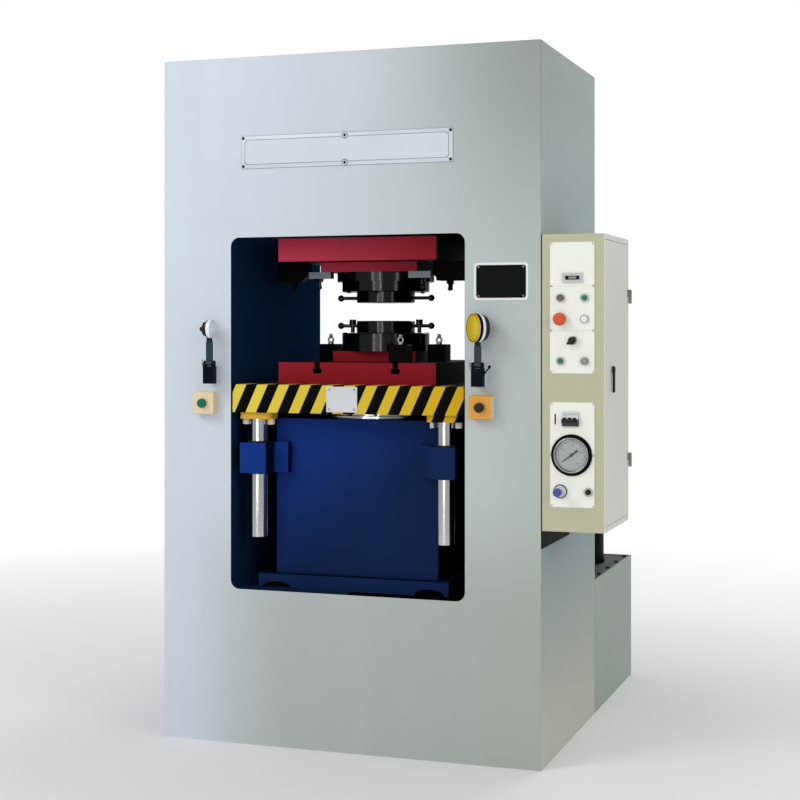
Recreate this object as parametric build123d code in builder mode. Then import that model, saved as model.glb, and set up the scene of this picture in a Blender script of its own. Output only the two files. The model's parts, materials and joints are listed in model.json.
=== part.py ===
from build123d import *
import os
from math import cos, radians, sin

os.makedirs("parts", exist_ok=True)

# Upstroke hydraulic press with a one-piece box frame. Millimetres, +Z up, the operator stands on -Y.
# The origin is on the floor under the press axis.

# Clearances between pieces
RUNNING_FIT = 0.06
MOTION_GAP = 0.3
HOLE_CLEARANCE = 0.25

# Frame: a welded box with a window straight through it
FRAME_W = 1320.0
FRAME_D = 805.0
FRAME_H = 2300.0
FRAME_EDGE_R = 4.0
FACE_PLATE_T = 40.0
SIDE_PLATE_T = 25.0
END_PLATE_T = 25.0
BEAM_PLATE_T = 40.0
LINER_T = 20.0
WINDOW_W = 820.0
WINDOW_FLOOR = 518.0
WINDOW_H = 1178.0
WINDOW_R = 30.0

FRONT = -FRAME_D / 2
REAR = FRAME_D / 2
SIDE = FRAME_W / 2
WINDOW_CEILING = WINDOW_FLOOR + WINDOW_H
CELL_D = FRAME_D - 2 * FACE_PLATE_T
FRONT_PLANE = Plane.XZ.offset(-FRONT)

# Oil tank behind the frame, with its cover let in below the rim
TANK_D = 697.5
TANK_H = 480.0
TANK_WALL = 6.0
TANK_LEDGE_W = 34.0
TANK_LEDGE_T = 6.0
COVER_DROP = 6.0
COVER_T = 8.0
COVER_GAP = 7.0
COVER_TOP = TANK_H - COVER_DROP
LEDGE_TOP = COVER_TOP - COVER_T
TANK_Y = REAR + TANK_D / 2
TANK_REAR = REAR + TANK_D
DRAIN_R = 17.0
DRAIN_Z = 45.0
DRAIN_LENGTH = 16.0

# Filler and breather on the tank cover
FILLER_X = -420.0
FILLER_Y = 900.0
FILLER_R = 42.0
FILLER_NECK_R = 30.0
FILLER_NECK_H = 16.0
FILLER_H = 62.0

# Pump motor standing on its bell housing
MOTOR_X = 466.0
MOTOR_Y = 900.0
MOTOR_R = 104.0
MOTOR_H = 300.0
MOTOR_FLANGE_R = 125.0
MOTOR_FLANGE_T = 14.0
FIN_COUNT = 28
FIN_T = 4.0
FIN_DEPTH = 14.0
TERMINAL_W = 90.0
TERMINAL_D = 60.0
TERMINAL_H = 110.0
BELL_H = 150.0
BELL_R = 121.0
BELL_WALL = 10.0
COWL_R = 121.0
COWL_H = 86.0
COWL_EDGE_R = 22.0
COWL_WALL = 3.0
COWL_SLOT_L = 44.0
COWL_SLOT_W = 7.0
COWL_SLOT_COUNT = 16
MOTOR_Z = COVER_TOP + BELL_H
COWL_Z = MOTOR_Z + MOTOR_H

# Gear pump and its lines inside the tank
PUMP_SPIGOT_R = 56.0
PUMP_W = 104.0
PUMP_H = 130.0
SUCTION_R = 18.0
STRAINER_R = 48.0
STRAINER_H = 110.0
STRAINER_FLOOR = 70.0
LINE_R = 15.0
PUMP_TOP = LEDGE_TOP - 12.0

# Valve manifold and the line to the cylinder
MANIFOLD_X = 100.0
MANIFOLD_Y = 720.0
MANIFOLD_W = 120.0
MANIFOLD_D = 150.0
MANIFOLD_RISE = 39.0
VALVE_W = 66.0
VALVE_D = 84.0
VALVE_H = 62.0
SOLENOID_R = 24.0
SOLENOID_LENGTH = 72.0
PIPE_R = 17.0
PIPE_BORE_R = 11.0
PIPE_NUT_R = 30.0
PIPE_NUT_T = 24.0
PIPE_RISE = 20.0

# Cylinder body: a flat-fronted block standing on the window floor
ROD_SIDE_GAP = 80.0
ROD_X = WINDOW_W / 2 - ROD_SIDE_GAP
ROD_TO_BODY = 40.0
BODY_W = 2 * (ROD_X - ROD_TO_BODY)
BODY_D = 600.0
FOOT_SIDE_GAP = 74.0
FOOT_W = WINDOW_W - 2 * FOOT_SIDE_GAP
FOOT_D = 680.0
FOOT_H = 47.0
FOOT_ARCH_INSET = 66.0
FOOT_ARCH_X = FOOT_W / 2 - FOOT_ARCH_INSET
FOOT_ARCH_W = 104.0
FOOT_ARCH_H = 22.0
BODY_FLOOR_T = 82.0
BODY_BORE_GAP = 3.0
GLAND_MARGIN = 28.0
GLAND_R = BODY_W / 2 - GLAND_MARGIN
GLAND_T = 10.0
GLAND_SPIGOT_H = 70.0
GLAND_WALL = 12.0

# Ram and moving table
BODY_WALL = 50.0
RAM_R = BODY_W / 2 - BODY_WALL
RAM_EDGE = 4.0
TABLE_LIFT_GAP = 23.0
TABLE_SIDE_GAP = 4.0
TABLE_FRONT_GAP = 2.5
TABLE_T = 94.0
TABLE_EDGE = 2.0
TABLE_W = WINDOW_W - 2 * TABLE_SIDE_GAP
TABLE_D = FRAME_D - 2 * TABLE_FRONT_GAP

# Four guide rods, each in a bushed block on the cylinder body
ROD_R = 29.0
ROD_FOOT_GAP = 124.0
ROD_EDGE = 3.0
BUSH_WALL = 8.0
GUIDE_W = 94.0
GUIDE_D = 102.0
GUIDE_H = 102.0
GUIDE_DROP = 78.0
GUIDE_ARM_W = 98.0
GUIDE_ARM_T = 30.0
ROD_Y = BODY_D / 2 + GUIDE_D / 2
ROD_FLANGE_W = 116.0
ROD_FLANGE_D = 76.0
ROD_FLANGE_T = 22.0
ROD_FLANGE_CORNER = 20.0
ROD_BOLT_X = 45.0
ROD_BOLT_R = 6.0
ROD_BOLT_HEAD = 11.0
ROD_BOLT_HEAD_T = 20.0
ROD_BOLT_GRIP = 30.0
ROD_SPOTS = [(sx * ROD_X, sy * ROD_Y) for sx in (-1, 1) for sy in (-1, 1)]

# Lower bolster with its two tee slots, and the riser on it
BOLSTER_SIDE_GAP = 130.0
BOLSTER_W = WINDOW_W - 2 * BOLSTER_SIDE_GAP
BOLSTER_D = 600.0
LOWER_BOLSTER_T = 73.0
TEE_X = 139.0
TEE_NECK_W = 19.0
TEE_NECK_T = 21.0
TEE_HEAD_W = 30.0
TEE_HEAD_T = 16.0
LOWER_RISER_W = 304.0
LOWER_RISER_D = 250.0
LOWER_RISER_T = 36.0

# Round die holders: a body with a turning ring that carries two ball levers
HOLDER_R = 153.0
LOWER_HOLDER_T = 63.0
RING_R = 102.0
RING_BORE_R = 60.0
LOWER_RING_T = 42.0
SOCKET_R = 35.0
SOCKET_DEPTH = 60.0
LEVER_R = 6.0
LEVER_REACH = 168.0
BALL_R = 11.5
THUMB_X = 124.0
THUMB_R = 12.0
THUMB_STEM_R = 7.0
THUMB_HEAD_T = 17.0
THUMB_RISE = 5.0
RING_EDGE = 2.0

# Clamp blocks round the lower riser, each with a stud and an eye nut
CLAMP_X = 201.0
CLAMP_Y = 15.0
CORNER_CLAMP_Y = 245.0
CLAMP_W = 66.0
CLAMP_D = 56.0
CLAMP_H = 60.0
CLAMP_TOE_W = 10.0
CLAMP_TOE_H = 22.0
STUD_R = 8.0
EYE_COLLAR_R = 10.0
EYE_COLLAR_T = 6.0
EYE_R = 9.0
EYE_WIRE_R = 3.5
EYE_BALL_R = 7.0
CLAMP_SPOTS = [(-CLAMP_X, -CLAMP_Y), (CLAMP_X, -CLAMP_Y), (TEE_X, -CORNER_CLAMP_Y), (-TEE_X, CORNER_CLAMP_Y)]

# Upper bolster and riser under the crown
UPPER_BOLSTER_SIDE_GAP = 128.0
UPPER_BOLSTER_W = WINDOW_W - 2 * UPPER_BOLSTER_SIDE_GAP
UPPER_BOLSTER_T = 78.0
UPPER_RISER_W = 350.0
UPPER_RISER_D = 360.0
UPPER_RISER_T = 33.0

# Upper die holder
UPPER_FLANGE_R = 170.0
UPPER_FLANGE_T = 31.0
UPPER_HOLDER_T = 66.0
UPPER_RING_T = 37.5

# Levels of the stack in the window, from the ceiling down and from the floor up.
# The cylinder body takes the height that the dies, the tables and the open gap leave.
DIE_GAP = 63.5
UPPER_BOLSTER_FLOOR = WINDOW_CEILING - UPPER_BOLSTER_T
UPPER_RISER_FLOOR = UPPER_BOLSTER_FLOOR - UPPER_RISER_T
UPPER_HOLDER_FLOOR = UPPER_RISER_FLOOR - UPPER_HOLDER_T
UPPER_RING_FLOOR = UPPER_HOLDER_FLOOR - UPPER_RING_T
LOWER_RING_TOP = UPPER_RING_FLOOR - DIE_GAP
LOWER_HOLDER_TOP = LOWER_RING_TOP - LOWER_RING_T
LOWER_RISER_TOP = LOWER_HOLDER_TOP - LOWER_HOLDER_T
LOWER_BOLSTER_TOP = LOWER_RISER_TOP - LOWER_RISER_T
CLAMP_TOP = LOWER_BOLSTER_TOP + CLAMP_H
TABLE_TOP = LOWER_BOLSTER_TOP - LOWER_BOLSTER_T
TABLE_BOTTOM = TABLE_TOP - TABLE_T
BODY_TOP = TABLE_BOTTOM - TABLE_LIFT_GAP
BODY_H = BODY_TOP - WINDOW_FLOOR
BORE_FLOOR = WINDOW_FLOOR + BODY_FLOOR_T
PIPE_Z = BORE_FLOOR + PIPE_RISE
MANIFOLD_H = PIPE_Z - COVER_TOP + MANIFOLD_RISE
ROD_LENGTH = TABLE_BOTTOM - (WINDOW_FLOOR + FOOT_H + ROD_FOOT_GAP)
GUIDE_TOP = BODY_TOP - GUIDE_DROP
GUIDE_MID = GUIDE_TOP - GUIDE_H / 2

# Strap clamps beside the upper holder, and the stop brackets outside them
STRAP_X = 181.5
STRAP_Y = 158.0
STRAP_L = 85.0
STRAP_W = 34.0
STRAP_T = 22.0
STOP_OVERHANG = 3.0
STOP_X = UPPER_BOLSTER_W / 2 + STOP_OVERHANG
STOP_Y = 150.0
STOP_W = 112.0
STOP_D = 40.0
STOP_H = 66.0
STOP_CORNER = 22.0
STOP_SCREW_R = 7.0
STOP_SCREW_L = 32.0
STOP_NUT_R = 11.0
STOP_NUT_T = 12.0

# Two-hand control boxes on the frame front
BOX_W = 76.0
BOX_H = 73.0
BOX_D = 36.0
BOX_EDGE_R = 5.0
BOX_Z = 1141.0
LEFT_BOX_X = -496.0
RIGHT_BOX_X = 470.0
HAND_COLLAR_R = 19.5
HAND_COLLAR_T = 5.0
HAND_BUTTON_R = 15.5
HAND_BUTTON_RISE = 14.0
HAND_BUTTON_ROOT = 22.0
HAND_BUTTON_TRAVEL = 5.0

# Work lamps beside the window
LAMP_BASE_W = 38.0
LAMP_BASE_H = 58.0
LAMP_BASE_D = 62.0
LAMP_STANDOFF = 50.0
LAMP_BASE_Z = 1207.0
LEFT_LAMP_X = -465.0
RIGHT_LAMP_X = 467.0
LAMP_ARM_W = 22.0
LAMP_ARM_T = 9.0
LAMP_KNUCKLE_R = 9.0
LAMP_PIN_R = 3.5
LAMP_PIVOT_RISE = 10.0
LAMP_POST_R = 7.0
LAMP_POST_H = 12.0
LEFT_HEAD_R = 30.0
RIGHT_HEAD_R = 45.0
LEFT_ARM_L = 72.0
RIGHT_ARM_L = 60.0
LEFT_HEAD_TURN = 90.0
RIGHT_HEAD_TURN = -45.0
LEFT_HEAD_L = 24.0
RIGHT_HEAD_L = 34.0
HEAD_WALL = 3.0
LEVER_HOOK_R = 13.0
LEVER_HOOK_WIRE = 4.5

# Control cabinet on the right side, hung on a dark back plate
BACK_PLATE_T = 3.0
BACK_PLATE_DROP = 57.0
CABINET_W = 199.0
CABINET_D = 385.0
CABINET_H = 931.0
CABINET_Z = 755.0
CABINET_WALL = 3.0
CABINET_LIP = 16.0
DOOR_T = 15.0
DOOR_SKIN = 2.0
DOOR_MARGIN_Y = 8.0
DOOR_MARGIN_Z = 17.0
HINGE_R = 5.0
HINGE_PIN_R = 2.5
HINGE_OUT = 5.5
HINGE_BACK = 5.5
HINGE_H = 46.0
HINGE_LOW = 955.0
HINGE_HIGH = 1497.0
LATCH_Y = -297.0
LATCH_Z = 1230.0
LATCH_L = 84.0
LATCH_W = 11.0
LATCH_T = 7.0
LATCH_BOSS_R = 11.0
LATCH_BOSS_T = 4.0
CABINET_X = SIDE + BACK_PLATE_T + CABINET_W / 2
CABINET_LEFT = SIDE + BACK_PLATE_T
CABINET_RIGHT = CABINET_LEFT + CABINET_W
CABINET_BACK = FRONT + CABINET_D
CABINET_TOP = CABINET_Z + CABINET_H

# Instrument panels on the cabinet front
PANEL_T = 3.0
PANEL_W = 141.0
PANEL_X = 759.5
PANEL_CORNER = 8.0
PANEL_GAP = 0.6
UPPER_PANEL_Z = 1250.0
UPPER_PANEL_LOW_H = 134.0
UPPER_PANEL_MID_H = 139.0
UPPER_PANEL_TOP_H = 138.0
LOWER_PANEL_Z = 832.0
LOWER_PANEL_H = 328.0
PANEL_FACE = FRONT - PANEL_T
PANEL_PLANE = Plane.XZ.offset(-PANEL_FACE)

# Devices in the panels: 22 mm control units
UNIT_R = 11.0
BEZEL_R = 14.5
BEZEL_T = 3.5
UNIT_DEPTH = 46.0
UNIT_COLUMN_LEFT = 722.5
UNIT_COLUMN_RIGHT = 799.0
SELECTOR_X = 760.0
DUMP_X = 811.0
LAMP_ROW = 1486.0
STOP_ROW = 1420.0
SELECTOR_ROW = 1352.5
RISE_ROW = 1289.0
REGULATOR_ROW = 881.5
LAMP_UNIT = (UNIT_COLUMN_LEFT, LAMP_ROW)
PUMP_UNIT = (UNIT_COLUMN_RIGHT, LAMP_ROW)
STOP_UNIT = (UNIT_COLUMN_LEFT, STOP_ROW)
KEY_UNIT = (UNIT_COLUMN_RIGHT, STOP_ROW)
SELECTOR_UNIT = (SELECTOR_X, SELECTOR_ROW)
RISE_UNIT = (UNIT_COLUMN_LEFT, RISE_ROW)
READY_UNIT = (UNIT_COLUMN_RIGHT, RISE_ROW)
DUMP_UNIT = (DUMP_X, REGULATOR_ROW)
REGULATOR_UNIT = (UNIT_COLUMN_LEFT, REGULATOR_ROW)
CAP_R = 8.8
CAP_RISE = 5.0
CAP_ROOT = 18.0
CAP_TRAVEL = 4.0
LENS_R = 9.5
LENS_RISE = 7.0
MUSHROOM_R = 20.0
MUSHROOM_T = 12.0
MUSHROOM_GAP = 9.0
STEM_R = 8.0
SELECTOR_R = 11.5
SELECTOR_T = 7.0
SELECTOR_GRIP_L = 34.0
SELECTOR_GRIP_W = 8.0
SELECTOR_GRIP_T = 10.0
SELECTOR_ANGLE = 41.0
KEY_RISE = 4.0
KEY_SLOT_W = 2.4
KEY_SLOT_L = 9.0
KEY_SLOT_DEPTH = 5.0
ROTOR_ROOT = 14.0

# Pressure regulator knob
DIAL_R = 22.0
DIAL_T = 6.0
KNOB_R = 13.0
KNOB_T = 20.0
KNOB_STEM_R = 5.0
KNOB_STEM_L = 30.0

# Counter, breaker and pressure gauge
COUNTER_X = 761.0
COUNTER_Z = 1549.0
COUNTER_W = 65.0
COUNTER_H = 31.0
COUNTER_T = 5.0
COUNTER_CASE_W = 56.0
COUNTER_CASE_H = 25.0
COUNTER_CASE_D = 50.0
BREAKER_X = 754.5
BREAKER_Z = 1108.0
BREAKER_W = 52.0
BREAKER_H = 45.0
BREAKER_RISE = 8.0
BREAKER_NOSE_H = 22.0
BREAKER_NOSE_RISE = 8.0
BREAKER_DEPTH = 50.0
TOGGLE_W = 11.0
TOGGLE_PITCH = 16.0
TOGGLE_R = 7.0
TOGGLE_LEVER = 15.0
TOGGLE_LEVER_T = 5.0
TOGGLE_BAR_T = 4.0
TOGGLE_SLOT_GAP = 0.6
TOGGLE_ANGLE = 25.0
GAUGE_X = 758.0
GAUGE_Z = 995.5
GAUGE_FLANGE_R = 65.0
GAUGE_FLANGE_T = 4.0
GAUGE_BEZEL_R = 60.0
GAUGE_BEZEL_T = 12.0
GAUGE_DIAL_R = 50.0
GAUGE_DIAL_DEPTH = 10.0
GAUGE_CASE_R = 52.0
GAUGE_CASE_D = 48.0
GAUGE_SPINDLE_R = 1.5
POINTER_HUB_R = 5.0
POINTER_L = 36.0
POINTER_TAIL_L = 24.0
POINTER_TIP_W = 2.0
POINTER_TAIL_W = 7.0
POINTER_T = 1.5
POINTER_LIFT = 3.0
POINTER_ANGLE = 216.9
SLOT_X = 705.5
SLOT_Z = 1107.0
SLOT_W = 5.0
SLOT_H = 33.0

# Mounting plate inside the cabinet
MOUNT_PLATE_T = 2.0
MOUNT_PLATE_W = 300.0
MOUNT_PLATE_H = 800.0
MOUNT_FOOT_R = 8.0
MOUNT_FOOT_T = 10.0
MOUNT_FOOT_X = 130.0
MOUNT_FOOT_Z = 370.0


# Frame with its window and the closed cells between the plates
with BuildPart() as press_frame:
    with BuildSketch():
        Rectangle(FRAME_W, FRAME_D)
    extrude(amount=FRAME_H)
    fillet(press_frame.edges().filter_by(Axis.Z), FRAME_EDGE_R)
    chamfer(press_frame.faces().sort_by(Axis.Z)[-1].edges(), FRAME_EDGE_R / 2)
    with BuildSketch(FRONT_PLANE):
        with Locations((0, WINDOW_FLOOR + WINDOW_H / 2)):
            RectangleRounded(WINDOW_W, WINDOW_H, WINDOW_R)
    extrude(amount=-FRAME_D, mode=Mode.SUBTRACT)
    column_cell_w = SIDE - SIDE_PLATE_T - WINDOW_W / 2 - LINER_T
    column_cell_x = WINDOW_W / 2 + LINER_T + column_cell_w / 2
    with Locations((-column_cell_x, 0, FRAME_H / 2), (column_cell_x, 0, FRAME_H / 2)):
        Box(column_cell_w, CELL_D, FRAME_H - 2 * END_PLATE_T, mode=Mode.SUBTRACT)
    bed_cell_top = WINDOW_FLOOR - BEAM_PLATE_T
    with Locations((0, 0, (END_PLATE_T + bed_cell_top) / 2)):
        Box(WINDOW_W, CELL_D, bed_cell_top - END_PLATE_T, mode=Mode.SUBTRACT)
    crown_cell_floor = WINDOW_CEILING + BEAM_PLATE_T
    crown_cell_top = FRAME_H - END_PLATE_T
    with Locations((0, 0, (crown_cell_floor + crown_cell_top) / 2)):
        Box(WINDOW_W, CELL_D, crown_cell_top - crown_cell_floor, mode=Mode.SUBTRACT)
press_frame.part.label = "press_frame"
export_step(press_frame.part, "parts/press_frame.step")

# Oil tank: four walls and a floor, with a ledge for the cover and a drain plug at the back
with BuildPart() as oil_tank:
    with Locations((0, TANK_Y, 0)):
        Box(FRAME_W, TANK_D, TANK_H, align=(Align.CENTER, Align.CENTER, Align.MIN))
    with Locations((0, TANK_Y, TANK_WALL)):
        Box(FRAME_W - 2 * TANK_WALL, TANK_D - 2 * TANK_WALL, TANK_H,
            align=(Align.CENTER, Align.CENTER, Align.MIN), mode=Mode.SUBTRACT)
    with BuildSketch(Plane.XY.offset(LEDGE_TOP)):
        with Locations((0, TANK_Y)):
            Rectangle(FRAME_W - TANK_WALL, TANK_D - TANK_WALL)
            Rectangle(FRAME_W - 2 * TANK_LEDGE_W, TANK_D - 2 * TANK_LEDGE_W, mode=Mode.SUBTRACT)
    extrude(amount=-TANK_LEDGE_T)
    with BuildSketch(Plane.XZ.offset(-TANK_REAR)):
        with Locations((SIDE / 2, DRAIN_Z)):
            RegularPolygon(DRAIN_R, 6)
    extrude(amount=-DRAIN_LENGTH)
oil_tank.part.label = "oil_tank"
export_step(oil_tank.part, "parts/oil_tank.step")

# Tank cover, lying on the ledge, with the holes for the pump, the delivery line and the filler
with BuildPart() as tank_cover:
    with BuildSketch(Plane.XY.offset(LEDGE_TOP)):
        with Locations((0, TANK_Y)):
            Rectangle(FRAME_W - 2 * TANK_WALL - 2 * COVER_GAP, TANK_D - 2 * TANK_WALL - 2 * COVER_GAP)
        with Locations((MOTOR_X, MOTOR_Y)):
            Circle(PUMP_SPIGOT_R + HOLE_CLEARANCE, mode=Mode.SUBTRACT)
        with Locations((MANIFOLD_X, MANIFOLD_Y)):
            Circle(LINE_R + HOLE_CLEARANCE, mode=Mode.SUBTRACT)
        with Locations((FILLER_X, FILLER_Y)):
            Circle(FILLER_NECK_R - 4, mode=Mode.SUBTRACT)
    extrude(amount=COVER_T)
tank_cover.part.label = "tank_cover"
export_step(tank_cover.part, "parts/tank_cover.step")

# Filler neck with its breather cap
with BuildPart() as filler_breather:
    with BuildSketch(Plane.XZ.offset(-FILLER_Y)):
        with BuildLine():
            Polyline((FILLER_X, COVER_TOP), (FILLER_X + FILLER_NECK_R, COVER_TOP),
                     (FILLER_X + FILLER_NECK_R, COVER_TOP + FILLER_NECK_H),
                     (FILLER_X + FILLER_R, COVER_TOP + FILLER_NECK_H),
                     (FILLER_X + FILLER_R, COVER_TOP + FILLER_H - 8),
                     (FILLER_X + FILLER_R - 8, COVER_TOP + FILLER_H),
                     (FILLER_X, COVER_TOP + FILLER_H), close=True)
        make_face()
    revolve(axis=Axis((FILLER_X, FILLER_Y, 0), (0, 0, 1)))
filler_breather.part.label = "filler_breather"
export_step(filler_breather.part, "parts/filler_breather.step")

# Bell housing between the cover and the motor
with BuildPart() as bell_housing:
    with Locations((MOTOR_X, MOTOR_Y, COVER_TOP)):
        Cylinder(BELL_R, BELL_H, align=(Align.CENTER, Align.CENTER, Align.MIN))
        Cylinder(MOTOR_FLANGE_R, MOTOR_FLANGE_T, align=(Align.CENTER, Align.CENTER, Align.MIN))
    with Locations((MOTOR_X, MOTOR_Y, MOTOR_Z)):
        Cylinder(MOTOR_FLANGE_R, MOTOR_FLANGE_T, align=(Align.CENTER, Align.CENTER, Align.MAX))
        Cylinder(BELL_R - BELL_WALL, BELL_H - MOTOR_FLANGE_T, align=(Align.CENTER, Align.CENTER, Align.MAX),
                 mode=Mode.SUBTRACT)
bell_housing.part.label = "bell_housing"
export_step(bell_housing.part, "parts/bell_housing.step")

# Motor body with its cooling fins, flange and terminal box
with BuildPart() as motor_body:
    with Locations((MOTOR_X, MOTOR_Y, MOTOR_Z)):
        Cylinder(MOTOR_R, MOTOR_H, align=(Align.CENTER, Align.CENTER, Align.MIN))
        Cylinder(MOTOR_FLANGE_R, MOTOR_FLANGE_T, align=(Align.CENTER, Align.CENTER, Align.MIN))
    with BuildSketch(Plane.XY.offset(MOTOR_Z + MOTOR_FLANGE_T)):
        with Locations((MOTOR_X, MOTOR_Y)):
            with PolarLocations(MOTOR_R + FIN_DEPTH / 2 - 2, FIN_COUNT):
                Rectangle(FIN_DEPTH, FIN_T)
    extrude(amount=MOTOR_H - 2 * MOTOR_FLANGE_T)
    with Locations((MOTOR_X - MOTOR_R - TERMINAL_D / 2 + 8, MOTOR_Y, MOTOR_Z + MOTOR_H / 2)):
        Box(TERMINAL_D, TERMINAL_W, TERMINAL_H)
motor_body.part.label = "motor_body"
export_step(motor_body.part, "parts/motor_body.step")

# Fan cowl on top of the motor, a thin cup
with BuildPart() as fan_cowl:
    with Locations((MOTOR_X, MOTOR_Y, COWL_Z)):
        Cylinder(COWL_R, COWL_H, align=(Align.CENTER, Align.CENTER, Align.MIN))
    fillet(fan_cowl.edges().group_by(Axis.Z)[-1], COWL_EDGE_R)
    with Locations((MOTOR_X, MOTOR_Y, COWL_Z)):
        Cylinder(COWL_R - COWL_EDGE_R, COWL_H - COWL_WALL, align=(Align.CENTER, Align.CENTER, Align.MIN),
                 mode=Mode.SUBTRACT)
    with BuildSketch(Plane.XY.offset(COWL_Z + COWL_H)):
        with Locations((MOTOR_X, MOTOR_Y)):
            with PolarLocations(COWL_R / 2, COWL_SLOT_COUNT):
                SlotOverall(COWL_SLOT_L, COWL_SLOT_W)
    extrude(amount=-2 * COWL_WALL, mode=Mode.SUBTRACT)
fan_cowl.part.label = "fan_cowl"
export_step(fan_cowl.part, "parts/fan_cowl.step")

# Gear pump hanging under the bell housing, with its strainer and its delivery line to the manifold
with BuildPart() as gear_pump:
    with Locations((MOTOR_X, MOTOR_Y, COVER_TOP)):
        Cylinder(PUMP_SPIGOT_R, COVER_TOP - PUMP_TOP, align=(Align.CENTER, Align.CENTER, Align.MAX))
    with Locations((MOTOR_X, MOTOR_Y, PUMP_TOP)):
        Box(PUMP_W, PUMP_W, PUMP_H, align=(Align.CENTER, Align.CENTER, Align.MAX))
    with Locations((MOTOR_X, MOTOR_Y, STRAINER_FLOOR)):
        Cylinder(STRAINER_R, STRAINER_H, align=(Align.CENTER, Align.CENTER, Align.MIN))
        Cylinder(SUCTION_R, PUMP_TOP - PUMP_H - STRAINER_FLOOR, align=(Align.CENTER, Align.CENTER, Align.MIN))
    line_z = PUMP_TOP - PUMP_H / 2
    with BuildLine():
        FilletPolyline((MOTOR_X - PUMP_W / 2, MOTOR_Y, line_z), (MANIFOLD_X, MOTOR_Y, line_z),
                       (MANIFOLD_X, MANIFOLD_Y, line_z), (MANIFOLD_X, MANIFOLD_Y, COVER_TOP), radius=3 * LINE_R)
    with BuildSketch(Plane.YZ.offset(MOTOR_X - PUMP_W / 2)):
        with Locations((MOTOR_Y, line_z)):
            Circle(LINE_R)
    sweep()
gear_pump.part.label = "gear_pump"
export_step(gear_pump.part, "parts/gear_pump.step")

# Valve manifold on the cover, with a solenoid valve on top
with BuildPart() as valve_manifold:
    with Locations((MANIFOLD_X, MANIFOLD_Y, COVER_TOP)):
        Box(MANIFOLD_W, MANIFOLD_D, MANIFOLD_H, align=(Align.CENTER, Align.CENTER, Align.MIN))
    chamfer(valve_manifold.faces().sort_by(Axis.Z)[-1].edges(), 3)
    with Locations((MANIFOLD_X, MANIFOLD_Y, COVER_TOP + MANIFOLD_H)):
        Box(VALVE_W, VALVE_D, VALVE_H, align=(Align.CENTER, Align.CENTER, Align.MIN))
    valve_z = COVER_TOP + MANIFOLD_H + VALVE_H / 2
    with BuildSketch(Plane.XZ.offset(-MANIFOLD_Y)):
        with Locations((MANIFOLD_X, valve_z)):
            Circle(SOLENOID_R)
    extrude(amount=VALVE_D / 2 + SOLENOID_LENGTH, both=True)
    with BuildSketch(Plane.YZ.offset(MANIFOLD_X + MANIFOLD_W / 2)):
        with Locations((MANIFOLD_Y, COVER_TOP + MANIFOLD_H / 2)):
            RegularPolygon(16, 6)
    extrude(amount=40)
valve_manifold.part.label = "valve_manifold"
export_step(valve_manifold.part, "parts/valve_manifold.step")

# Pressure line from the manifold to the cylinder body, with a union nut at each end
pipe_start = BODY_D / 2
pipe_end = MANIFOLD_Y - MANIFOLD_D / 2
with BuildPart() as pressure_pipe:
    with BuildSketch(Plane.XZ.offset(-pipe_start)):
        with Locations((MANIFOLD_X, PIPE_Z)):
            Circle(PIPE_R)
    extrude(amount=-(pipe_end - pipe_start))
    for nut_y in (pipe_start, pipe_end - PIPE_NUT_T):
        with BuildSketch(Plane.XZ.offset(-nut_y)):
            with Locations((MANIFOLD_X, PIPE_Z)):
                RegularPolygon(PIPE_NUT_R, 6)
        extrude(amount=-PIPE_NUT_T)
    with BuildSketch(Plane.XZ.offset(-pipe_start)):
        with Locations((MANIFOLD_X, PIPE_Z)):
            Circle(PIPE_BORE_R)
    extrude(amount=-(pipe_end - pipe_start), mode=Mode.SUBTRACT)
pressure_pipe.part.label = "pressure_pipe"
export_step(pressure_pipe.part, "parts/pressure_pipe.step")

# Cylinder body with its foot, the bore for the ram, the seat of the gland and the pressure port
gland_spigot_r = RAM_R + GLAND_WALL
with BuildPart() as cylinder_body:
    with Locations((0, 0, WINDOW_FLOOR)):
        Box(BODY_W, BODY_D, BODY_H, align=(Align.CENTER, Align.CENTER, Align.MIN))
    fillet(cylinder_body.edges().filter_by(Axis.Z), 6)
    with Locations((0, 0, WINDOW_FLOOR)):
        Box(FOOT_W, FOOT_D, FOOT_H, align=(Align.CENTER, Align.CENTER, Align.MIN))
    with BuildSketch(Plane.XZ.offset(FOOT_D / 2)):
        with Locations((-FOOT_ARCH_X, WINDOW_FLOOR), (FOOT_ARCH_X, WINDOW_FLOOR)):
            Ellipse(FOOT_ARCH_W / 2, FOOT_ARCH_H)
    extrude(amount=-FOOT_D, mode=Mode.SUBTRACT)
    with Locations((0, 0, BORE_FLOOR)):
        Cylinder(RAM_R + BODY_BORE_GAP, BODY_TOP - BORE_FLOOR, align=(Align.CENTER, Align.CENTER, Align.MIN),
                 mode=Mode.SUBTRACT)
    with Locations((0, 0, BODY_TOP)):
        Cylinder(gland_spigot_r + HOLE_CLEARANCE, GLAND_SPIGOT_H + HOLE_CLEARANCE,
                 align=(Align.CENTER, Align.CENTER, Align.MAX), mode=Mode.SUBTRACT)
    with BuildSketch(Plane.XZ.offset(-BODY_D / 2)):
        with Locations((MANIFOLD_X, PIPE_Z)):
            Circle(PIPE_BORE_R)
    extrude(amount=BODY_D / 2 - RAM_R / 2, mode=Mode.SUBTRACT)
cylinder_body.part.label = "cylinder_body"
export_step(cylinder_body.part, "parts/cylinder_body.step")

# Gland ring that guides the ram at the top of the body
with BuildPart() as gland_ring:
    with Locations((0, 0, BODY_TOP)):
        Cylinder(GLAND_R, GLAND_T, align=(Align.CENTER, Align.CENTER, Align.MIN))
        Cylinder(gland_spigot_r, GLAND_SPIGOT_H, align=(Align.CENTER, Align.CENTER, Align.MAX))
    chamfer(gland_ring.faces().sort_by(Axis.Z)[-1].edges(), 1.5)
    with Locations((0, 0, BODY_TOP)):
        Cylinder(RAM_R + RUNNING_FIT, 2 * GLAND_SPIGOT_H, mode=Mode.SUBTRACT)
gland_ring.part.label = "gland_ring"
export_step(gland_ring.part, "parts/gland_ring.step")

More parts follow.
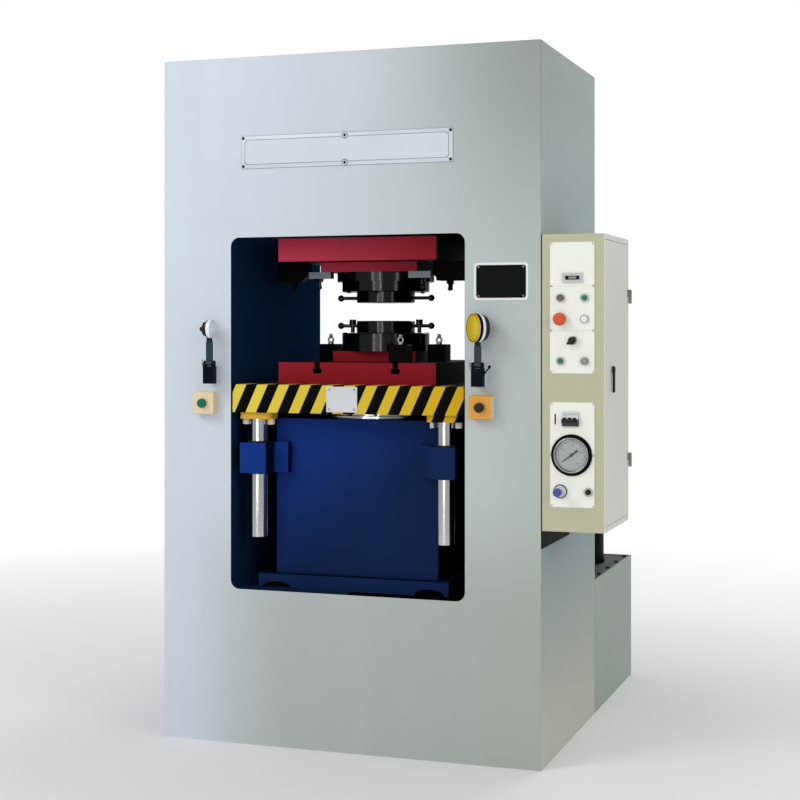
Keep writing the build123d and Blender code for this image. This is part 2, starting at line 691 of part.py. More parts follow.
# Guide blocks at the four corners of the body, each with an arm along the body's face
with BuildPart() as guide_blocks:
    for rod_x, rod_y in ROD_SPOTS:
        inward = -1 if rod_x > 0 else 1
        outward_y = 1 if rod_y > 0 else -1
        with Locations((rod_x, rod_y, GUIDE_MID)):
            Box(GUIDE_W, GUIDE_D, GUIDE_H)
        arm_y = outward_y * (BODY_D / 2 + GUIDE_ARM_T / 2)
        with Locations((rod_x + inward * GUIDE_ARM_W / 2, arm_y, GUIDE_MID)):
            Box(GUIDE_ARM_W, GUIDE_ARM_T, GUIDE_H)
    with Locations([(rod_x, rod_y, GUIDE_MID) for rod_x, rod_y in ROD_SPOTS]):
        Cylinder(ROD_R + BUSH_WALL + HOLE_CLEARANCE, GUIDE_H, mode=Mode.SUBTRACT)
guide_blocks.part.label = "guide_blocks"
export_step(guide_blocks.part, "parts/guide_blocks.step")

# Bronze bushes in the guide blocks
with BuildPart() as guide_bushes:
    with Locations([(rod_x, rod_y, GUIDE_MID) for rod_x, rod_y in ROD_SPOTS]):
        Cylinder(ROD_R + BUSH_WALL, GUIDE_H)
        Cylinder(ROD_R + RUNNING_FIT, GUIDE_H, mode=Mode.SUBTRACT)
guide_bushes.part.label = "guide_bushes"
export_step(guide_bushes.part, "parts/guide_bushes.step")

# Ram
with BuildPart() as ram:
    with Locations((0, 0, BORE_FLOOR + MOTION_GAP)):
        Cylinder(RAM_R, TABLE_BOTTOM - BORE_FLOOR - MOTION_GAP, align=(Align.CENTER, Align.CENTER, Align.MIN))
    chamfer(ram.edges().group_by(Axis.Z)[0], RAM_EDGE)
ram.part.label = "ram"
export_step(ram.part, "parts/ram.step")

# Moving table, with the blind holes for the rod flange bolts
with BuildPart() as moving_table:
    with Locations((0, 0, TABLE_BOTTOM)):
        Box(TABLE_W, TABLE_D, TABLE_T, align=(Align.CENTER, Align.CENTER, Align.MIN))
    chamfer(moving_table.edges(), TABLE_EDGE)
    for rod_x, rod_y in ROD_SPOTS:
        with Locations((rod_x - ROD_BOLT_X, rod_y, TABLE_BOTTOM), (rod_x + ROD_BOLT_X, rod_y, TABLE_BOTTOM)):
            Cylinder(ROD_BOLT_R + HOLE_CLEARANCE, ROD_BOLT_GRIP + HOLE_CLEARANCE,
                     align=(Align.CENTER, Align.CENTER, Align.MIN), mode=Mode.SUBTRACT)
moving_table.part.label = "moving_table"
export_step(moving_table.part, "parts/moving_table.step")

# Guide rods hanging under the table
with BuildPart() as guide_rods:
    with Locations([(rod_x, rod_y, TABLE_BOTTOM) for rod_x, rod_y in ROD_SPOTS]):
        Cylinder(ROD_R, ROD_LENGTH, align=(Align.CENTER, Align.CENTER, Align.MAX))
    chamfer(guide_rods.edges().group_by(Axis.Z)[0], ROD_EDGE)
guide_rods.part.label = "guide_rods"
export_step(guide_rods.part, "parts/guide_rods.step")

# Flanges that hold the rods to the table
with BuildPart() as rod_flanges:
    with BuildSketch(Plane.XY.offset(TABLE_BOTTOM - ROD_FLANGE_T)):
        with Locations(ROD_SPOTS):
            RectangleRounded(ROD_FLANGE_W, ROD_FLANGE_D, ROD_FLANGE_CORNER)
            Circle(ROD_R + HOLE_CLEARANCE, mode=Mode.SUBTRACT)
            with Locations((-ROD_BOLT_X, 0), (ROD_BOLT_X, 0)):
                Circle(ROD_BOLT_R + HOLE_CLEARANCE, mode=Mode.SUBTRACT)
    extrude(amount=ROD_FLANGE_T)
rod_flanges.part.label = "rod_flanges"
export_step(rod_flanges.part, "parts/rod_flanges.step")

# Hexagon bolts through the flanges into the table
with BuildPart() as flange_bolts:
    for rod_x, rod_y in ROD_SPOTS:
        for bolt_x in (rod_x - ROD_BOLT_X, rod_x + ROD_BOLT_X):
            with BuildSketch(Plane.XY.offset(TABLE_BOTTOM - ROD_FLANGE_T)):
                with Locations((bolt_x, rod_y)):
                    RegularPolygon(ROD_BOLT_HEAD, 6)
            extrude(amount=-ROD_BOLT_HEAD_T)
            with Locations((bolt_x, rod_y, TABLE_BOTTOM - ROD_FLANGE_T)):
                Cylinder(ROD_BOLT_R, ROD_FLANGE_T + ROD_BOLT_GRIP, align=(Align.CENTER, Align.CENTER, Align.MIN))
flange_bolts.part.label = "flange_bolts"
export_step(flange_bolts.part, "parts/flange_bolts.step")

# Lower bolster with two tee slots from front to back
with BuildPart() as lower_bolster:
    with BuildSketch(Plane.XZ.offset(BOLSTER_D / 2)):
        with Locations((0, TABLE_TOP + LOWER_BOLSTER_T / 2)):
            Rectangle(BOLSTER_W, LOWER_BOLSTER_T)
        with Locations((-TEE_X, LOWER_BOLSTER_TOP), (TEE_X, LOWER_BOLSTER_TOP)):
            Rectangle(TEE_NECK_W, TEE_NECK_T + TEE_HEAD_T, align=(Align.CENTER, Align.MAX), mode=Mode.SUBTRACT)
        with Locations((-TEE_X, LOWER_BOLSTER_TOP - TEE_NECK_T), (TEE_X, LOWER_BOLSTER_TOP - TEE_NECK_T)):
            Rectangle(TEE_HEAD_W, TEE_HEAD_T, align=(Align.CENTER, Align.MAX), mode=Mode.SUBTRACT)
    extrude(amount=-BOLSTER_D)
lower_bolster.part.label = "lower_bolster"
export_step(lower_bolster.part, "parts/lower_bolster.step")

# Riser block on the lower bolster
with BuildPart() as lower_riser:
    with Locations((0, 0, LOWER_BOLSTER_TOP)):
        Box(LOWER_RISER_W, LOWER_RISER_D, LOWER_RISER_T, align=(Align.CENTER, Align.CENTER, Align.MIN))
    chamfer(lower_riser.edges().filter_by(Axis.Z), 2)
lower_riser.part.label = "lower_riser"
export_step(lower_riser.part, "parts/lower_riser.step")

# Lower die holder: a disc with the neck that the ring turns on and the die socket in the middle
with BuildPart() as lower_die_holder:
    with Locations((0, 0, LOWER_RISER_TOP)):
        Cylinder(HOLDER_R, LOWER_HOLDER_T, align=(Align.CENTER, Align.CENTER, Align.MIN))
    chamfer(lower_die_holder.edges().group_by(Axis.Z)[-1], RING_EDGE)
    with Locations((0, 0, LOWER_HOLDER_TOP)):
        Cylinder(RING_BORE_R - RUNNING_FIT, LOWER_RING_T, align=(Align.CENTER, Align.CENTER, Align.MIN))
    with Locations((0, 0, LOWER_RING_TOP)):
        Cylinder(SOCKET_R, SOCKET_DEPTH, align=(Align.CENTER, Align.CENTER, Align.MAX), mode=Mode.SUBTRACT)
lower_die_holder.part.label = "lower_die_holder"
export_step(lower_die_holder.part, "parts/lower_die_holder.step")

# Clamp blocks on the lower bolster
with BuildPart() as clamp_blocks:
    with BuildSketch(Plane.XY.offset(LOWER_BOLSTER_TOP)):
        with Locations(CLAMP_SPOTS):
            Rectangle(CLAMP_W, CLAMP_D)
            Circle(STUD_R + HOLE_CLEARANCE, mode=Mode.SUBTRACT)
    extrude(amount=CLAMP_H)
    chamfer(clamp_blocks.faces().group_by(Axis.Z)[-1].edges().filter_by(GeomType.LINE), 2)
clamp_blocks.part.label = "clamp_blocks"
export_step(clamp_blocks.part, "parts/clamp_blocks.step")

# Studs through the clamp blocks, each with a ball-topped eye nut
eye_z = CLAMP_TOP + EYE_COLLAR_T + EYE_R
with BuildPart() as clamp_studs:
    with Locations([(clamp_x, clamp_y, CLAMP_TOP) for clamp_x, clamp_y in CLAMP_SPOTS]):
        Cylinder(STUD_R, CLAMP_H, align=(Align.CENTER, Align.CENTER, Align.MAX))
        Cylinder(EYE_COLLAR_R, EYE_COLLAR_T, align=(Align.CENTER, Align.CENTER, Align.MIN))
    for clamp_x, clamp_y in CLAMP_SPOTS:
        with Locations(Location((clamp_x, clamp_y, eye_z), (90, 0, 0))):
            Torus(EYE_R, EYE_WIRE_R)
    with Locations([(clamp_x, clamp_y, eye_z + EYE_R + EYE_BALL_R - 2) for clamp_x, clamp_y in CLAMP_SPOTS]):
        Sphere(EYE_BALL_R)
clamp_studs.part.label = "clamp_studs"
export_step(clamp_studs.part, "parts/clamp_studs.step")


def lever_pair(ring_floor: float, lever_z: float) -> Part:
    """The two ball-ended levers of a die holder ring, in line along X."""
    with BuildPart() as levers:
        with BuildSketch(Plane.YZ.offset(-LEVER_REACH)):
            with Locations((0, lever_z)):
                Circle(LEVER_R)
        extrude(amount=2 * LEVER_REACH)
        with Locations((-LEVER_REACH, 0, lever_z), (LEVER_REACH, 0, lever_z)):
            Sphere(BALL_R)
        with Locations((0, 0, ring_floor)):
            Cylinder(RING_BORE_R + 1, 4 * BALL_R, align=(Align.CENTER, Align.CENTER, Align.CENTER),
                     mode=Mode.SUBTRACT)
            Cylinder(RING_BORE_R + 1, 6 * BALL_R, align=(Align.CENTER, Align.CENTER, Align.MIN),
                     mode=Mode.SUBTRACT)
    return levers.part


# Lower ring with its levers and the thumb screws that stand on them
lower_lever_z = LOWER_HOLDER_TOP + LOWER_RING_T * 0.59
lower_levers = lever_pair(LOWER_HOLDER_TOP, lower_lever_z)
thumb_top = LOWER_RING_TOP + THUMB_RISE
thumb_floor = LOWER_HOLDER_TOP + 2 * MOTION_GAP
with BuildPart() as lower_ring:
    with Locations((0, 0, LOWER_HOLDER_TOP + MOTION_GAP)):
        Cylinder(RING_R, LOWER_RING_T - MOTION_GAP, align=(Align.CENTER, Align.CENTER, Align.MIN))
    chamfer(lower_ring.edges().group_by(Axis.Z)[-1], RING_EDGE)
    with Locations((0, 0, LOWER_HOLDER_TOP)):
        Cylinder(RING_BORE_R, LOWER_RING_T, align=(Align.CENTER, Align.CENTER, Align.MIN), mode=Mode.SUBTRACT)
    add(lower_levers)
    with Locations((-THUMB_X, 0, thumb_top), (THUMB_X, 0, thumb_top)):
        Cylinder(THUMB_R, THUMB_HEAD_T, align=(Align.CENTER, Align.CENTER, Align.MAX))
        Cylinder(THUMB_STEM_R, thumb_top - thumb_floor, align=(Align.CENTER, Align.CENTER, Align.MAX))
lower_ring.part.label = "lower_ring"
export_step(lower_ring.part, "parts/lower_ring.step")

# Upper bolster under the crown
with BuildPart() as upper_bolster:
    with Locations((0, 0, UPPER_BOLSTER_FLOOR)):
        Box(UPPER_BOLSTER_W, BOLSTER_D, UPPER_BOLSTER_T, align=(Align.CENTER, Align.CENTER, Align.MIN))
    chamfer(upper_bolster.edges().filter_by(Axis.Z), 2)
upper_bolster.part.label = "upper_bolster"
export_step(upper_bolster.part, "parts/upper_bolster.step")

# Riser block under the upper bolster
with BuildPart() as upper_riser:
    with Locations((0, 0, UPPER_RISER_FLOOR)):
        Box(UPPER_RISER_W, UPPER_RISER_D, UPPER_RISER_T, align=(Align.CENTER, Align.CENTER, Align.MIN))
    chamfer(upper_riser.edges().filter_by(Axis.Z), 2)
upper_riser.part.label = "upper_riser"
export_step(upper_riser.part, "parts/upper_riser.step")

# Upper die holder: flange, body, the neck for the ring and the die socket
with BuildPart() as upper_die_holder:
    with Locations((0, 0, UPPER_RISER_FLOOR)):
        Cylinder(UPPER_FLANGE_R, UPPER_FLANGE_T, align=(Align.CENTER, Align.CENTER, Align.MAX))
        Cylinder(HOLDER_R, UPPER_HOLDER_T, align=(Align.CENTER, Align.CENTER, Align.MAX))
    chamfer(upper_die_holder.edges().group_by(Axis.Z)[0], RING_EDGE)
    with Locations((0, 0, UPPER_HOLDER_FLOOR)):
        Cylinder(RING_BORE_R - RUNNING_FIT, UPPER_RING_T, align=(Align.CENTER, Align.CENTER, Align.MAX))
    with Locations((0, 0, UPPER_RING_FLOOR)):
        Cylinder(SOCKET_R, SOCKET_DEPTH, align=(Align.CENTER, Align.CENTER, Align.MIN), mode=Mode.SUBTRACT)
upper_die_holder.part.label = "upper_die_holder"
export_step(upper_die_holder.part, "parts/upper_die_holder.step")

# Upper ring with its levers
upper_lever_z = UPPER_RING_FLOOR + UPPER_RING_T * 0.44
upper_levers = lever_pair(UPPER_RING_FLOOR, upper_lever_z)
with BuildPart() as upper_ring:
    with Locations((0, 0, UPPER_RING_FLOOR)):
        Cylinder(RING_R, UPPER_RING_T - MOTION_GAP, align=(Align.CENTER, Align.CENTER, Align.MIN))
    chamfer(upper_ring.edges().group_by(Axis.Z)[0], RING_EDGE)
    with Locations((0, 0, UPPER_RING_FLOOR)):
        Cylinder(RING_BORE_R, UPPER_RING_T, align=(Align.CENTER, Align.CENTER, Align.MIN), mode=Mode.SUBTRACT)
    add(upper_levers)
upper_ring.part.label = "upper_ring"
export_step(upper_ring.part, "parts/upper_ring.step")

# Strap clamps at the corners of the upper riser
strap_spots = [(sx * STRAP_X, sy * STRAP_Y) for sx in (-1, 1) for sy in (-1, 1)]
with BuildPart() as strap_clamps:
    with BuildSketch(Plane.XY.offset(UPPER_RISER_FLOOR)):
        with Locations(strap_spots):
            RectangleRounded(STRAP_L, STRAP_W, 5)
    extrude(amount=-STRAP_T)
strap_clamps.part.label = "strap_clamps"
export_step(strap_clamps.part, "parts/strap_clamps.step")

# Stop brackets under the ends of the upper bolster, each with a stop screw and a lock nut
stop_floor = UPPER_BOLSTER_FLOOR - STOP_H
with BuildPart() as stop_brackets:
    for side in (-1, 1):
        with BuildSketch(Plane.XZ.offset(STOP_Y + STOP_D / 2)):
            with BuildLine():
                Polyline((side * (STOP_X - STOP_W / 2), UPPER_BOLSTER_FLOOR),
                         (side * (STOP_X - STOP_W / 2), stop_floor + STOP_CORNER),
                         (side * (STOP_X - STOP_W / 2 + STOP_CORNER), stop_floor),
                         (side * (STOP_X + STOP_W / 2), stop_floor),
                         (side * (STOP_X + STOP_W / 2), UPPER_BOLSTER_FLOOR), close=True)
            make_face()
        extrude(amount=-STOP_D)
        with BuildSketch(Plane.XY.offset(stop_floor)):
            with Locations((side * STOP_X, -STOP_Y)):
                RegularPolygon(STOP_NUT_R, 6)
        extrude(amount=-STOP_NUT_T)
        with Locations((side * STOP_X, -STOP_Y, stop_floor)):
            Cylinder(STOP_SCREW_R, STOP_SCREW_L, align=(Align.CENTER, Align.CENTER, Align.MAX))
stop_brackets.part.label = "stop_brackets"
export_step(stop_brackets.part, "parts/stop_brackets.step")

# Two-hand control boxes, each with a collar round its button hole
box_front = FRONT - BOX_D
collar_front = box_front - HAND_COLLAR_T
hand_hole_depth = HAND_COLLAR_T + HAND_BUTTON_ROOT + HAND_BUTTON_TRAVEL + MOTION_GAP
with BuildPart() as button_boxes:
    with BuildSketch(FRONT_PLANE):
        with Locations((LEFT_BOX_X, BOX_Z), (RIGHT_BOX_X, BOX_Z)):
            RectangleRounded(BOX_W, BOX_H, BOX_EDGE_R)
    extrude(amount=BOX_D)
    chamfer(button_boxes.faces().filter_by(Axis.Y).sort_by(Axis.Y)[:2].edges(), 1.5)
    with BuildSketch(Plane.XZ.offset(-box_front)):
        with Locations((LEFT_BOX_X, BOX_Z), (RIGHT_BOX_X, BOX_Z)):
            Circle(HAND_COLLAR_R)
    extrude(amount=HAND_COLLAR_T)
    with BuildSketch(Plane.XZ.offset(-collar_front)):
        with Locations((LEFT_BOX_X, BOX_Z), (RIGHT_BOX_X, BOX_Z)):
            Circle(HAND_BUTTON_R + RUNNING_FIT)
    extrude(amount=-hand_hole_depth, mode=Mode.SUBTRACT)
button_boxes.part.label = "button_boxes"
export_step(button_boxes.part, "parts/button_boxes.step")

# Two-hand buttons
for label, hand_x in (("left_hand_button", LEFT_BOX_X), ("right_hand_button", RIGHT_BOX_X)):
    with BuildPart() as hand_button:
        with BuildSketch(Plane.XZ.offset(-collar_front + HAND_BUTTON_RISE)):
            with Locations((hand_x, BOX_Z)):
                Circle(HAND_BUTTON_R)
        extrude(amount=-(HAND_BUTTON_RISE + HAND_BUTTON_ROOT))
        fillet(hand_button.edges().group_by(Axis.Y)[0], 5)
    hand_button.part.label = label
    export_step(hand_button.part, f"parts/{label}.step")

# Lamp bases on the frame front: a block with two ears, and on the right one a clamp hook
lamp_pivot_z = LAMP_BASE_Z + LAMP_BASE_H + LAMP_PIVOT_RISE
lamp_y = FRONT - LAMP_STANDOFF
ear_t = (LAMP_BASE_W - LAMP_ARM_W - 2 * MOTION_GAP) / 2
with BuildPart() as lamp_bases:
    for lamp_x in (LEFT_LAMP_X, RIGHT_LAMP_X):
        with Locations((lamp_x, FRONT, LAMP_BASE_Z)):
            Box(LAMP_BASE_W, LAMP_BASE_D, LAMP_BASE_H, align=(Align.CENTER, Align.MAX, Align.MIN))
        for side in (-1, 1):
            ear_x = lamp_x + side * (LAMP_BASE_W - ear_t) / 2
            with Locations((ear_x, lamp_y, LAMP_BASE_Z + LAMP_BASE_H)):
                Box(ear_t, 2 * LAMP_KNUCKLE_R, LAMP_PIVOT_RISE, align=(Align.CENTER, Align.CENTER, Align.MIN))
            with BuildSketch(Plane.YZ.offset(ear_x - ear_t / 2)):
                with Locations((lamp_y, lamp_pivot_z)):
                    Circle(LAMP_KNUCKLE_R)
            extrude(amount=ear_t)
        with BuildSketch(Plane.YZ.offset(lamp_x - LAMP_BASE_W / 2)):
            with Locations((lamp_y, lamp_pivot_z)):
                Circle(LAMP_PIN_R)
        extrude(amount=LAMP_BASE_W)
    hook_x = RIGHT_LAMP_X + LAMP_BASE_W / 2
    hook_z = LAMP_BASE_Z + LAMP_BASE_H
    with BuildLine():
        hook_run = Line((hook_x - 4, lamp_y, hook_z - LEVER_HOOK_R), (hook_x + 6, lamp_y, hook_z - LEVER_HOOK_R))
        hook_bend = RadiusArc(hook_run @ 1, (hook_x + 6 + LEVER_HOOK_R, lamp_y, hook_z), LEVER_HOOK_R)
        Line(hook_bend @ 1, hook_bend @ 1 + Vector(0, 0, 8))
    with BuildSketch(Plane.YZ.offset(hook_x - 4)):
        with Locations((lamp_y, hook_z - LEVER_HOOK_R)):
            Circle(LEVER_HOOK_WIRE)
    sweep()
lamp_bases.part.label = "lamp_bases"
export_step(lamp_bases.part, "parts/lamp_bases.step")


def lamp_pair(side: str, lamp_x: float, arm_l: float, head_r: float, head_l: float, turn: float) -> None:
    """One lamp: the arm on its knuckle, and the head that swivels on the post at the arm's end."""
    post_z = lamp_pivot_z + arm_l
    with BuildPart() as lamp_arm:
        with BuildSketch(Plane.YZ.offset(lamp_x - LAMP_ARM_W / 2)):
            with Locations((lamp_y, lamp_pivot_z)):
                Circle(LAMP_KNUCKLE_R)
        extrude(amount=LAMP_ARM_W)
        with Locations((lamp_x, lamp_y, lamp_pivot_z)):
            Box(LAMP_ARM_W, LAMP_ARM_T, arm_l, align=(Align.CENTER, Align.CENTER, Align.MIN))
        with Locations((lamp_x, lamp_y, post_z)):
            Cylinder(LAMP_POST_R, LAMP_POST_H, align=(Align.CENTER, Align.CENTER, Align.MIN))
        with BuildSketch(Plane.YZ.offset(lamp_x - LAMP_ARM_W / 2)):
            with Locations((lamp_y, lamp_pivot_z)):
                Circle(LAMP_PIN_R + RUNNING_FIT)
        extrude(amount=LAMP_ARM_W, mode=Mode.SUBTRACT)
    lamp_arm.part.label = f"{side}_lamp_arm"
    export_step(lamp_arm.part, f"parts/{side}_lamp_arm.step")

    neck_floor = post_z + MOTION_GAP
    head_z = neck_floor + LAMP_POST_H + head_r
    facing = Vector(sin(radians(turn)), -cos(radians(turn)), 0)
    head_plane = Plane(origin=(lamp_x, lamp_y, head_z), x_dir=(facing.Y, -facing.X, 0), z_dir=facing)
    with BuildPart() as lamp_head:
        with BuildSketch(head_plane.offset(-head_l / 2)):
            Circle(head_r)
        extrude(amount=head_l)
        chamfer(lamp_head.faces().filter_by(GeomType.PLANE).sort_by(lambda f: f.center().dot(facing))[0].edges(), 6)
        with BuildSketch(head_plane.offset(head_l / 2)):
            Circle(head_r - HEAD_WALL)
        extrude(amount=-HEAD_WALL, mode=Mode.SUBTRACT)
        with Locations((lamp_x, lamp_y, neck_floor)):
            Cylinder(LAMP_POST_R + HEAD_WALL, LAMP_POST_H + 2 * HEAD_WALL,
                     align=(Align.CENTER, Align.CENTER, Align.MIN))
            Cylinder(LAMP_POST_R + RUNNING_FIT, LAMP_POST_H, align=(Align.CENTER, Align.CENTER, Align.MIN),
                     mode=Mode.SUBTRACT)
    lamp_head.part.label = f"{side}_lamp_head"
    export_step(lamp_head.part, f"parts/{side}_lamp_head.step")


lamp_pair("left", LEFT_LAMP_X, LEFT_ARM_L, LEFT_HEAD_R, LEFT_HEAD_L, LEFT_HEAD_TURN)
lamp_pair("right", RIGHT_LAMP_X, RIGHT_ARM_L, RIGHT_HEAD_R, RIGHT_HEAD_L, RIGHT_HEAD_TURN)

# Dark back plate between the frame and the cabinet
with BuildPart() as cabinet_back_plate:
    with Locations((SIDE, FRONT, CABINET_Z - BACK_PLATE_DROP)):
        Box(BACK_PLATE_T, CABINET_D, CABINET_H + BACK_PLATE_DROP, align=(Align.MIN, Align.MIN, Align.MIN))
cabinet_back_plate.part.label = "cabinet_back_plate"
export_step(cabinet_back_plate.part, "parts/cabinet_back_plate.step")

# Hinge line of the door, outside the cabinet's rear corner
HINGE_X = CABINET_RIGHT + HINGE_OUT
HINGE_Y = CABINET_BACK + HINGE_BACK
UNIT_SPOTS = [LAMP_UNIT, PUMP_UNIT, STOP_UNIT, KEY_UNIT, SELECTOR_UNIT, RISE_UNIT, READY_UNIT, DUMP_UNIT,
              REGULATOR_UNIT]


# Openings for all devices, through the panels and the cabinet front
with BuildPart() as device_holes:
    with BuildSketch(PANEL_PLANE):
        with Locations(UNIT_SPOTS):
            Circle(UNIT_R + HOLE_CLEARANCE)
        with Locations((COUNTER_X, COUNTER_Z)):
            Rectangle(COUNTER_CASE_W + 2 * HOLE_CLEARANCE, COUNTER_CASE_H + 2 * HOLE_CLEARANCE)
        with Locations((BREAKER_X, BREAKER_Z)):
            Rectangle(BREAKER_W + 2 * HOLE_CLEARANCE, BREAKER_H + 2 * HOLE_CLEARANCE)
        with Locations((GAUGE_X, GAUGE_Z)):
            Circle(GAUGE_CASE_R + HOLE_CLEARANCE)
        with Locations((SLOT_X, SLOT_Z)):
            Rectangle(SLOT_W, SLOT_H)
    extrude(amount=-(PANEL_T + CABINET_WALL))

# Cabinet shell: open on its right side, with a lip round the opening and the fixed hinge knuckles
with BuildPart() as cabinet_shell:
    with Locations((CABINET_LEFT, FRONT, CABINET_Z)):
        Box(CABINET_W, CABINET_D, CABINET_H, align=(Align.MIN, Align.MIN, Align.MIN))
    with Locations((CABINET_LEFT + CABINET_WALL, FRONT + CABINET_WALL, CABINET_Z + CABINET_WALL)):
        Box(CABINET_W, CABINET_D - 2 * CABINET_WALL, CABINET_H - 2 * CABINET_WALL,
            align=(Align.MIN, Align.MIN, Align.MIN), mode=Mode.SUBTRACT)
    with BuildSketch(Plane.YZ.offset(CABINET_RIGHT - DOOR_T - MOTION_GAP)):
        with Locations((FRONT + CABINET_D / 2, CABINET_Z + CABINET_H / 2)):
            Rectangle(CABINET_D - CABINET_WALL, CABINET_H - CABINET_WALL)
            Rectangle(CABINET_D - 2 * CABINET_LIP, CABINET_H - 2 * CABINET_LIP, mode=Mode.SUBTRACT)
    extrude(amount=-CABINET_WALL)
    with BuildSketch(Plane.YZ.offset(CABINET_RIGHT)):
        with Locations((FRONT + CABINET_D / 2, CABINET_Z + CABINET_H / 2)):
            Rectangle(CABINET_D, CABINET_H)
            Rectangle(CABINET_D - 2 * DOOR_MARGIN_Y, CABINET_H - 2 * DOOR_MARGIN_Z, mode=Mode.SUBTRACT)
    extrude(amount=-CABINET_WALL)
    for hinge_z in (HINGE_LOW, HINGE_HIGH):
        with Locations((HINGE_X, HINGE_Y, hinge_z - HINGE_H / 2)):
            Cylinder(HINGE_R, HINGE_H / 2 - MOTION_GAP, align=(Align.CENTER, Align.CENTER, Align.MIN))
            Cylinder(HINGE_PIN_R, HINGE_H - 2, align=(Align.CENTER, Align.CENTER, Align.MIN))
        with Locations((CABINET_RIGHT - 12, CABINET_BACK - 1, hinge_z - HINGE_H / 2)):
            Box(HINGE_OUT + 12, 3, HINGE_H / 2 - MOTION_GAP, align=(Align.MIN, Align.MIN, Align.MIN))
    add(device_holes.part, mode=Mode.SUBTRACT)
cabinet_shell.part.label = "cabinet_shell"
export_step(cabinet_shell.part, "parts/cabinet_shell.step")

# Cabinet door: a pan with folded edges, the moving hinge knuckles and the boss of the latch
door_gap = 1.5
door_y0 = FRONT + DOOR_MARGIN_Y + door_gap
door_y1 = CABINET_BACK - DOOR_MARGIN_Y - door_gap
door_z0 = CABINET_Z + DOOR_MARGIN_Z + door_gap
door_z1 = CABINET_TOP - DOOR_MARGIN_Z - door_gap
with BuildPart() as cabinet_door:
    with Locations((CABINET_RIGHT, door_y0, door_z0)):
        Box(DOOR_T, door_y1 - door_y0, door_z1 - door_z0, align=(Align.MAX, Align.MIN, Align.MIN))
    with Locations((CABINET_RIGHT - DOOR_SKIN, door_y0 + DOOR_SKIN, door_z0 + DOOR_SKIN)):
        Box(DOOR_T, door_y1 - door_y0 - 2 * DOOR_SKIN, door_z1 - door_z0 - 2 * DOOR_SKIN,
            align=(Align.MAX, Align.MIN, Align.MIN), mode=Mode.SUBTRACT)
    for hinge_z in (HINGE_LOW, HINGE_HIGH):
        with Locations((HINGE_X, HINGE_Y, hinge_z)):
            Cylinder(HINGE_R, HINGE_H / 2, align=(Align.CENTER, Align.CENTER, Align.MIN))
        with Locations((CABINET_RIGHT, door_y1 - 12, hinge_z)):
            Box(2.5, HINGE_Y - door_y1 + 12, HINGE_H / 2, align=(Align.MIN, Align.MIN, Align.MIN))
        with Locations((HINGE_X, HINGE_Y, hinge_z)):
            Cylinder(HINGE_PIN_R + RUNNING_FIT, HINGE_H / 2, align=(Align.CENTER, Align.CENTER, Align.MIN),
                     mode=Mode.SUBTRACT)
    with BuildSketch(Plane.YZ.offset(CABINET_RIGHT)):
        with Locations((LATCH_Y, LATCH_Z + LATCH_L / 2 - LATCH_BOSS_R)):
            Circle(LATCH_BOSS_R)
    extrude(amount=LATCH_BOSS_T)
cabinet_door.part.label = "cabinet_door"
export_step(cabinet_door.part, "parts/cabinet_door.step")

# Swing handle of the door latch
latch_x = CABINET_RIGHT + LATCH_BOSS_T + MOTION_GAP
with BuildPart() as door_latch:
    with BuildSketch(Plane.YZ.offset(latch_x)):
        with Locations((LATCH_Y, LATCH_Z)):
            SlotOverall(LATCH_L, LATCH_W, rotation=90)
        with Locations((LATCH_Y, LATCH_Z + LATCH_L / 2 - LATCH_BOSS_R)):
            Circle(LATCH_BOSS_R)
    extrude(amount=LATCH_T)
    chamfer(door_latch.faces().sort_by(Axis.X)[-1].edges(), 1.5)
door_latch.part.label = "door_latch"
export_step(door_latch.part, "parts/door_latch.step")

# Upper panel: three plates with rounded corners, one above the other
with BuildPart() as upper_panel:
    plate_z = UPPER_PANEL_Z
    for plate_h in (UPPER_PANEL_LOW_H, UPPER_PANEL_MID_H, UPPER_PANEL_TOP_H):
        with BuildSketch(FRONT_PLANE):
            with Locations((PANEL_X, plate_z + plate_h / 2)):
                RectangleRounded(PANEL_W, plate_h - PANEL_GAP, PANEL_CORNER)
        extrude(amount=PANEL_T)
        plate_z = plate_z + plate_h
    add(device_holes.part, mode=Mode.SUBTRACT)
upper_panel.part.label = "upper_panel"
export_step(upper_panel.part, "parts/upper_panel.step")

# Lower panel
with BuildPart() as lower_panel:
    with BuildSketch(FRONT_PLANE):
        with Locations((PANEL_X, LOWER_PANEL_Z + LOWER_PANEL_H / 2)):
            RectangleRounded(PANEL_W, LOWER_PANEL_H, PANEL_CORNER)
    extrude(amount=PANEL_T)
    add(device_holes.part, mode=Mode.SUBTRACT)
lower_panel.part.label = "lower_panel"
export_step(lower_panel.part, "parts/lower_panel.step")

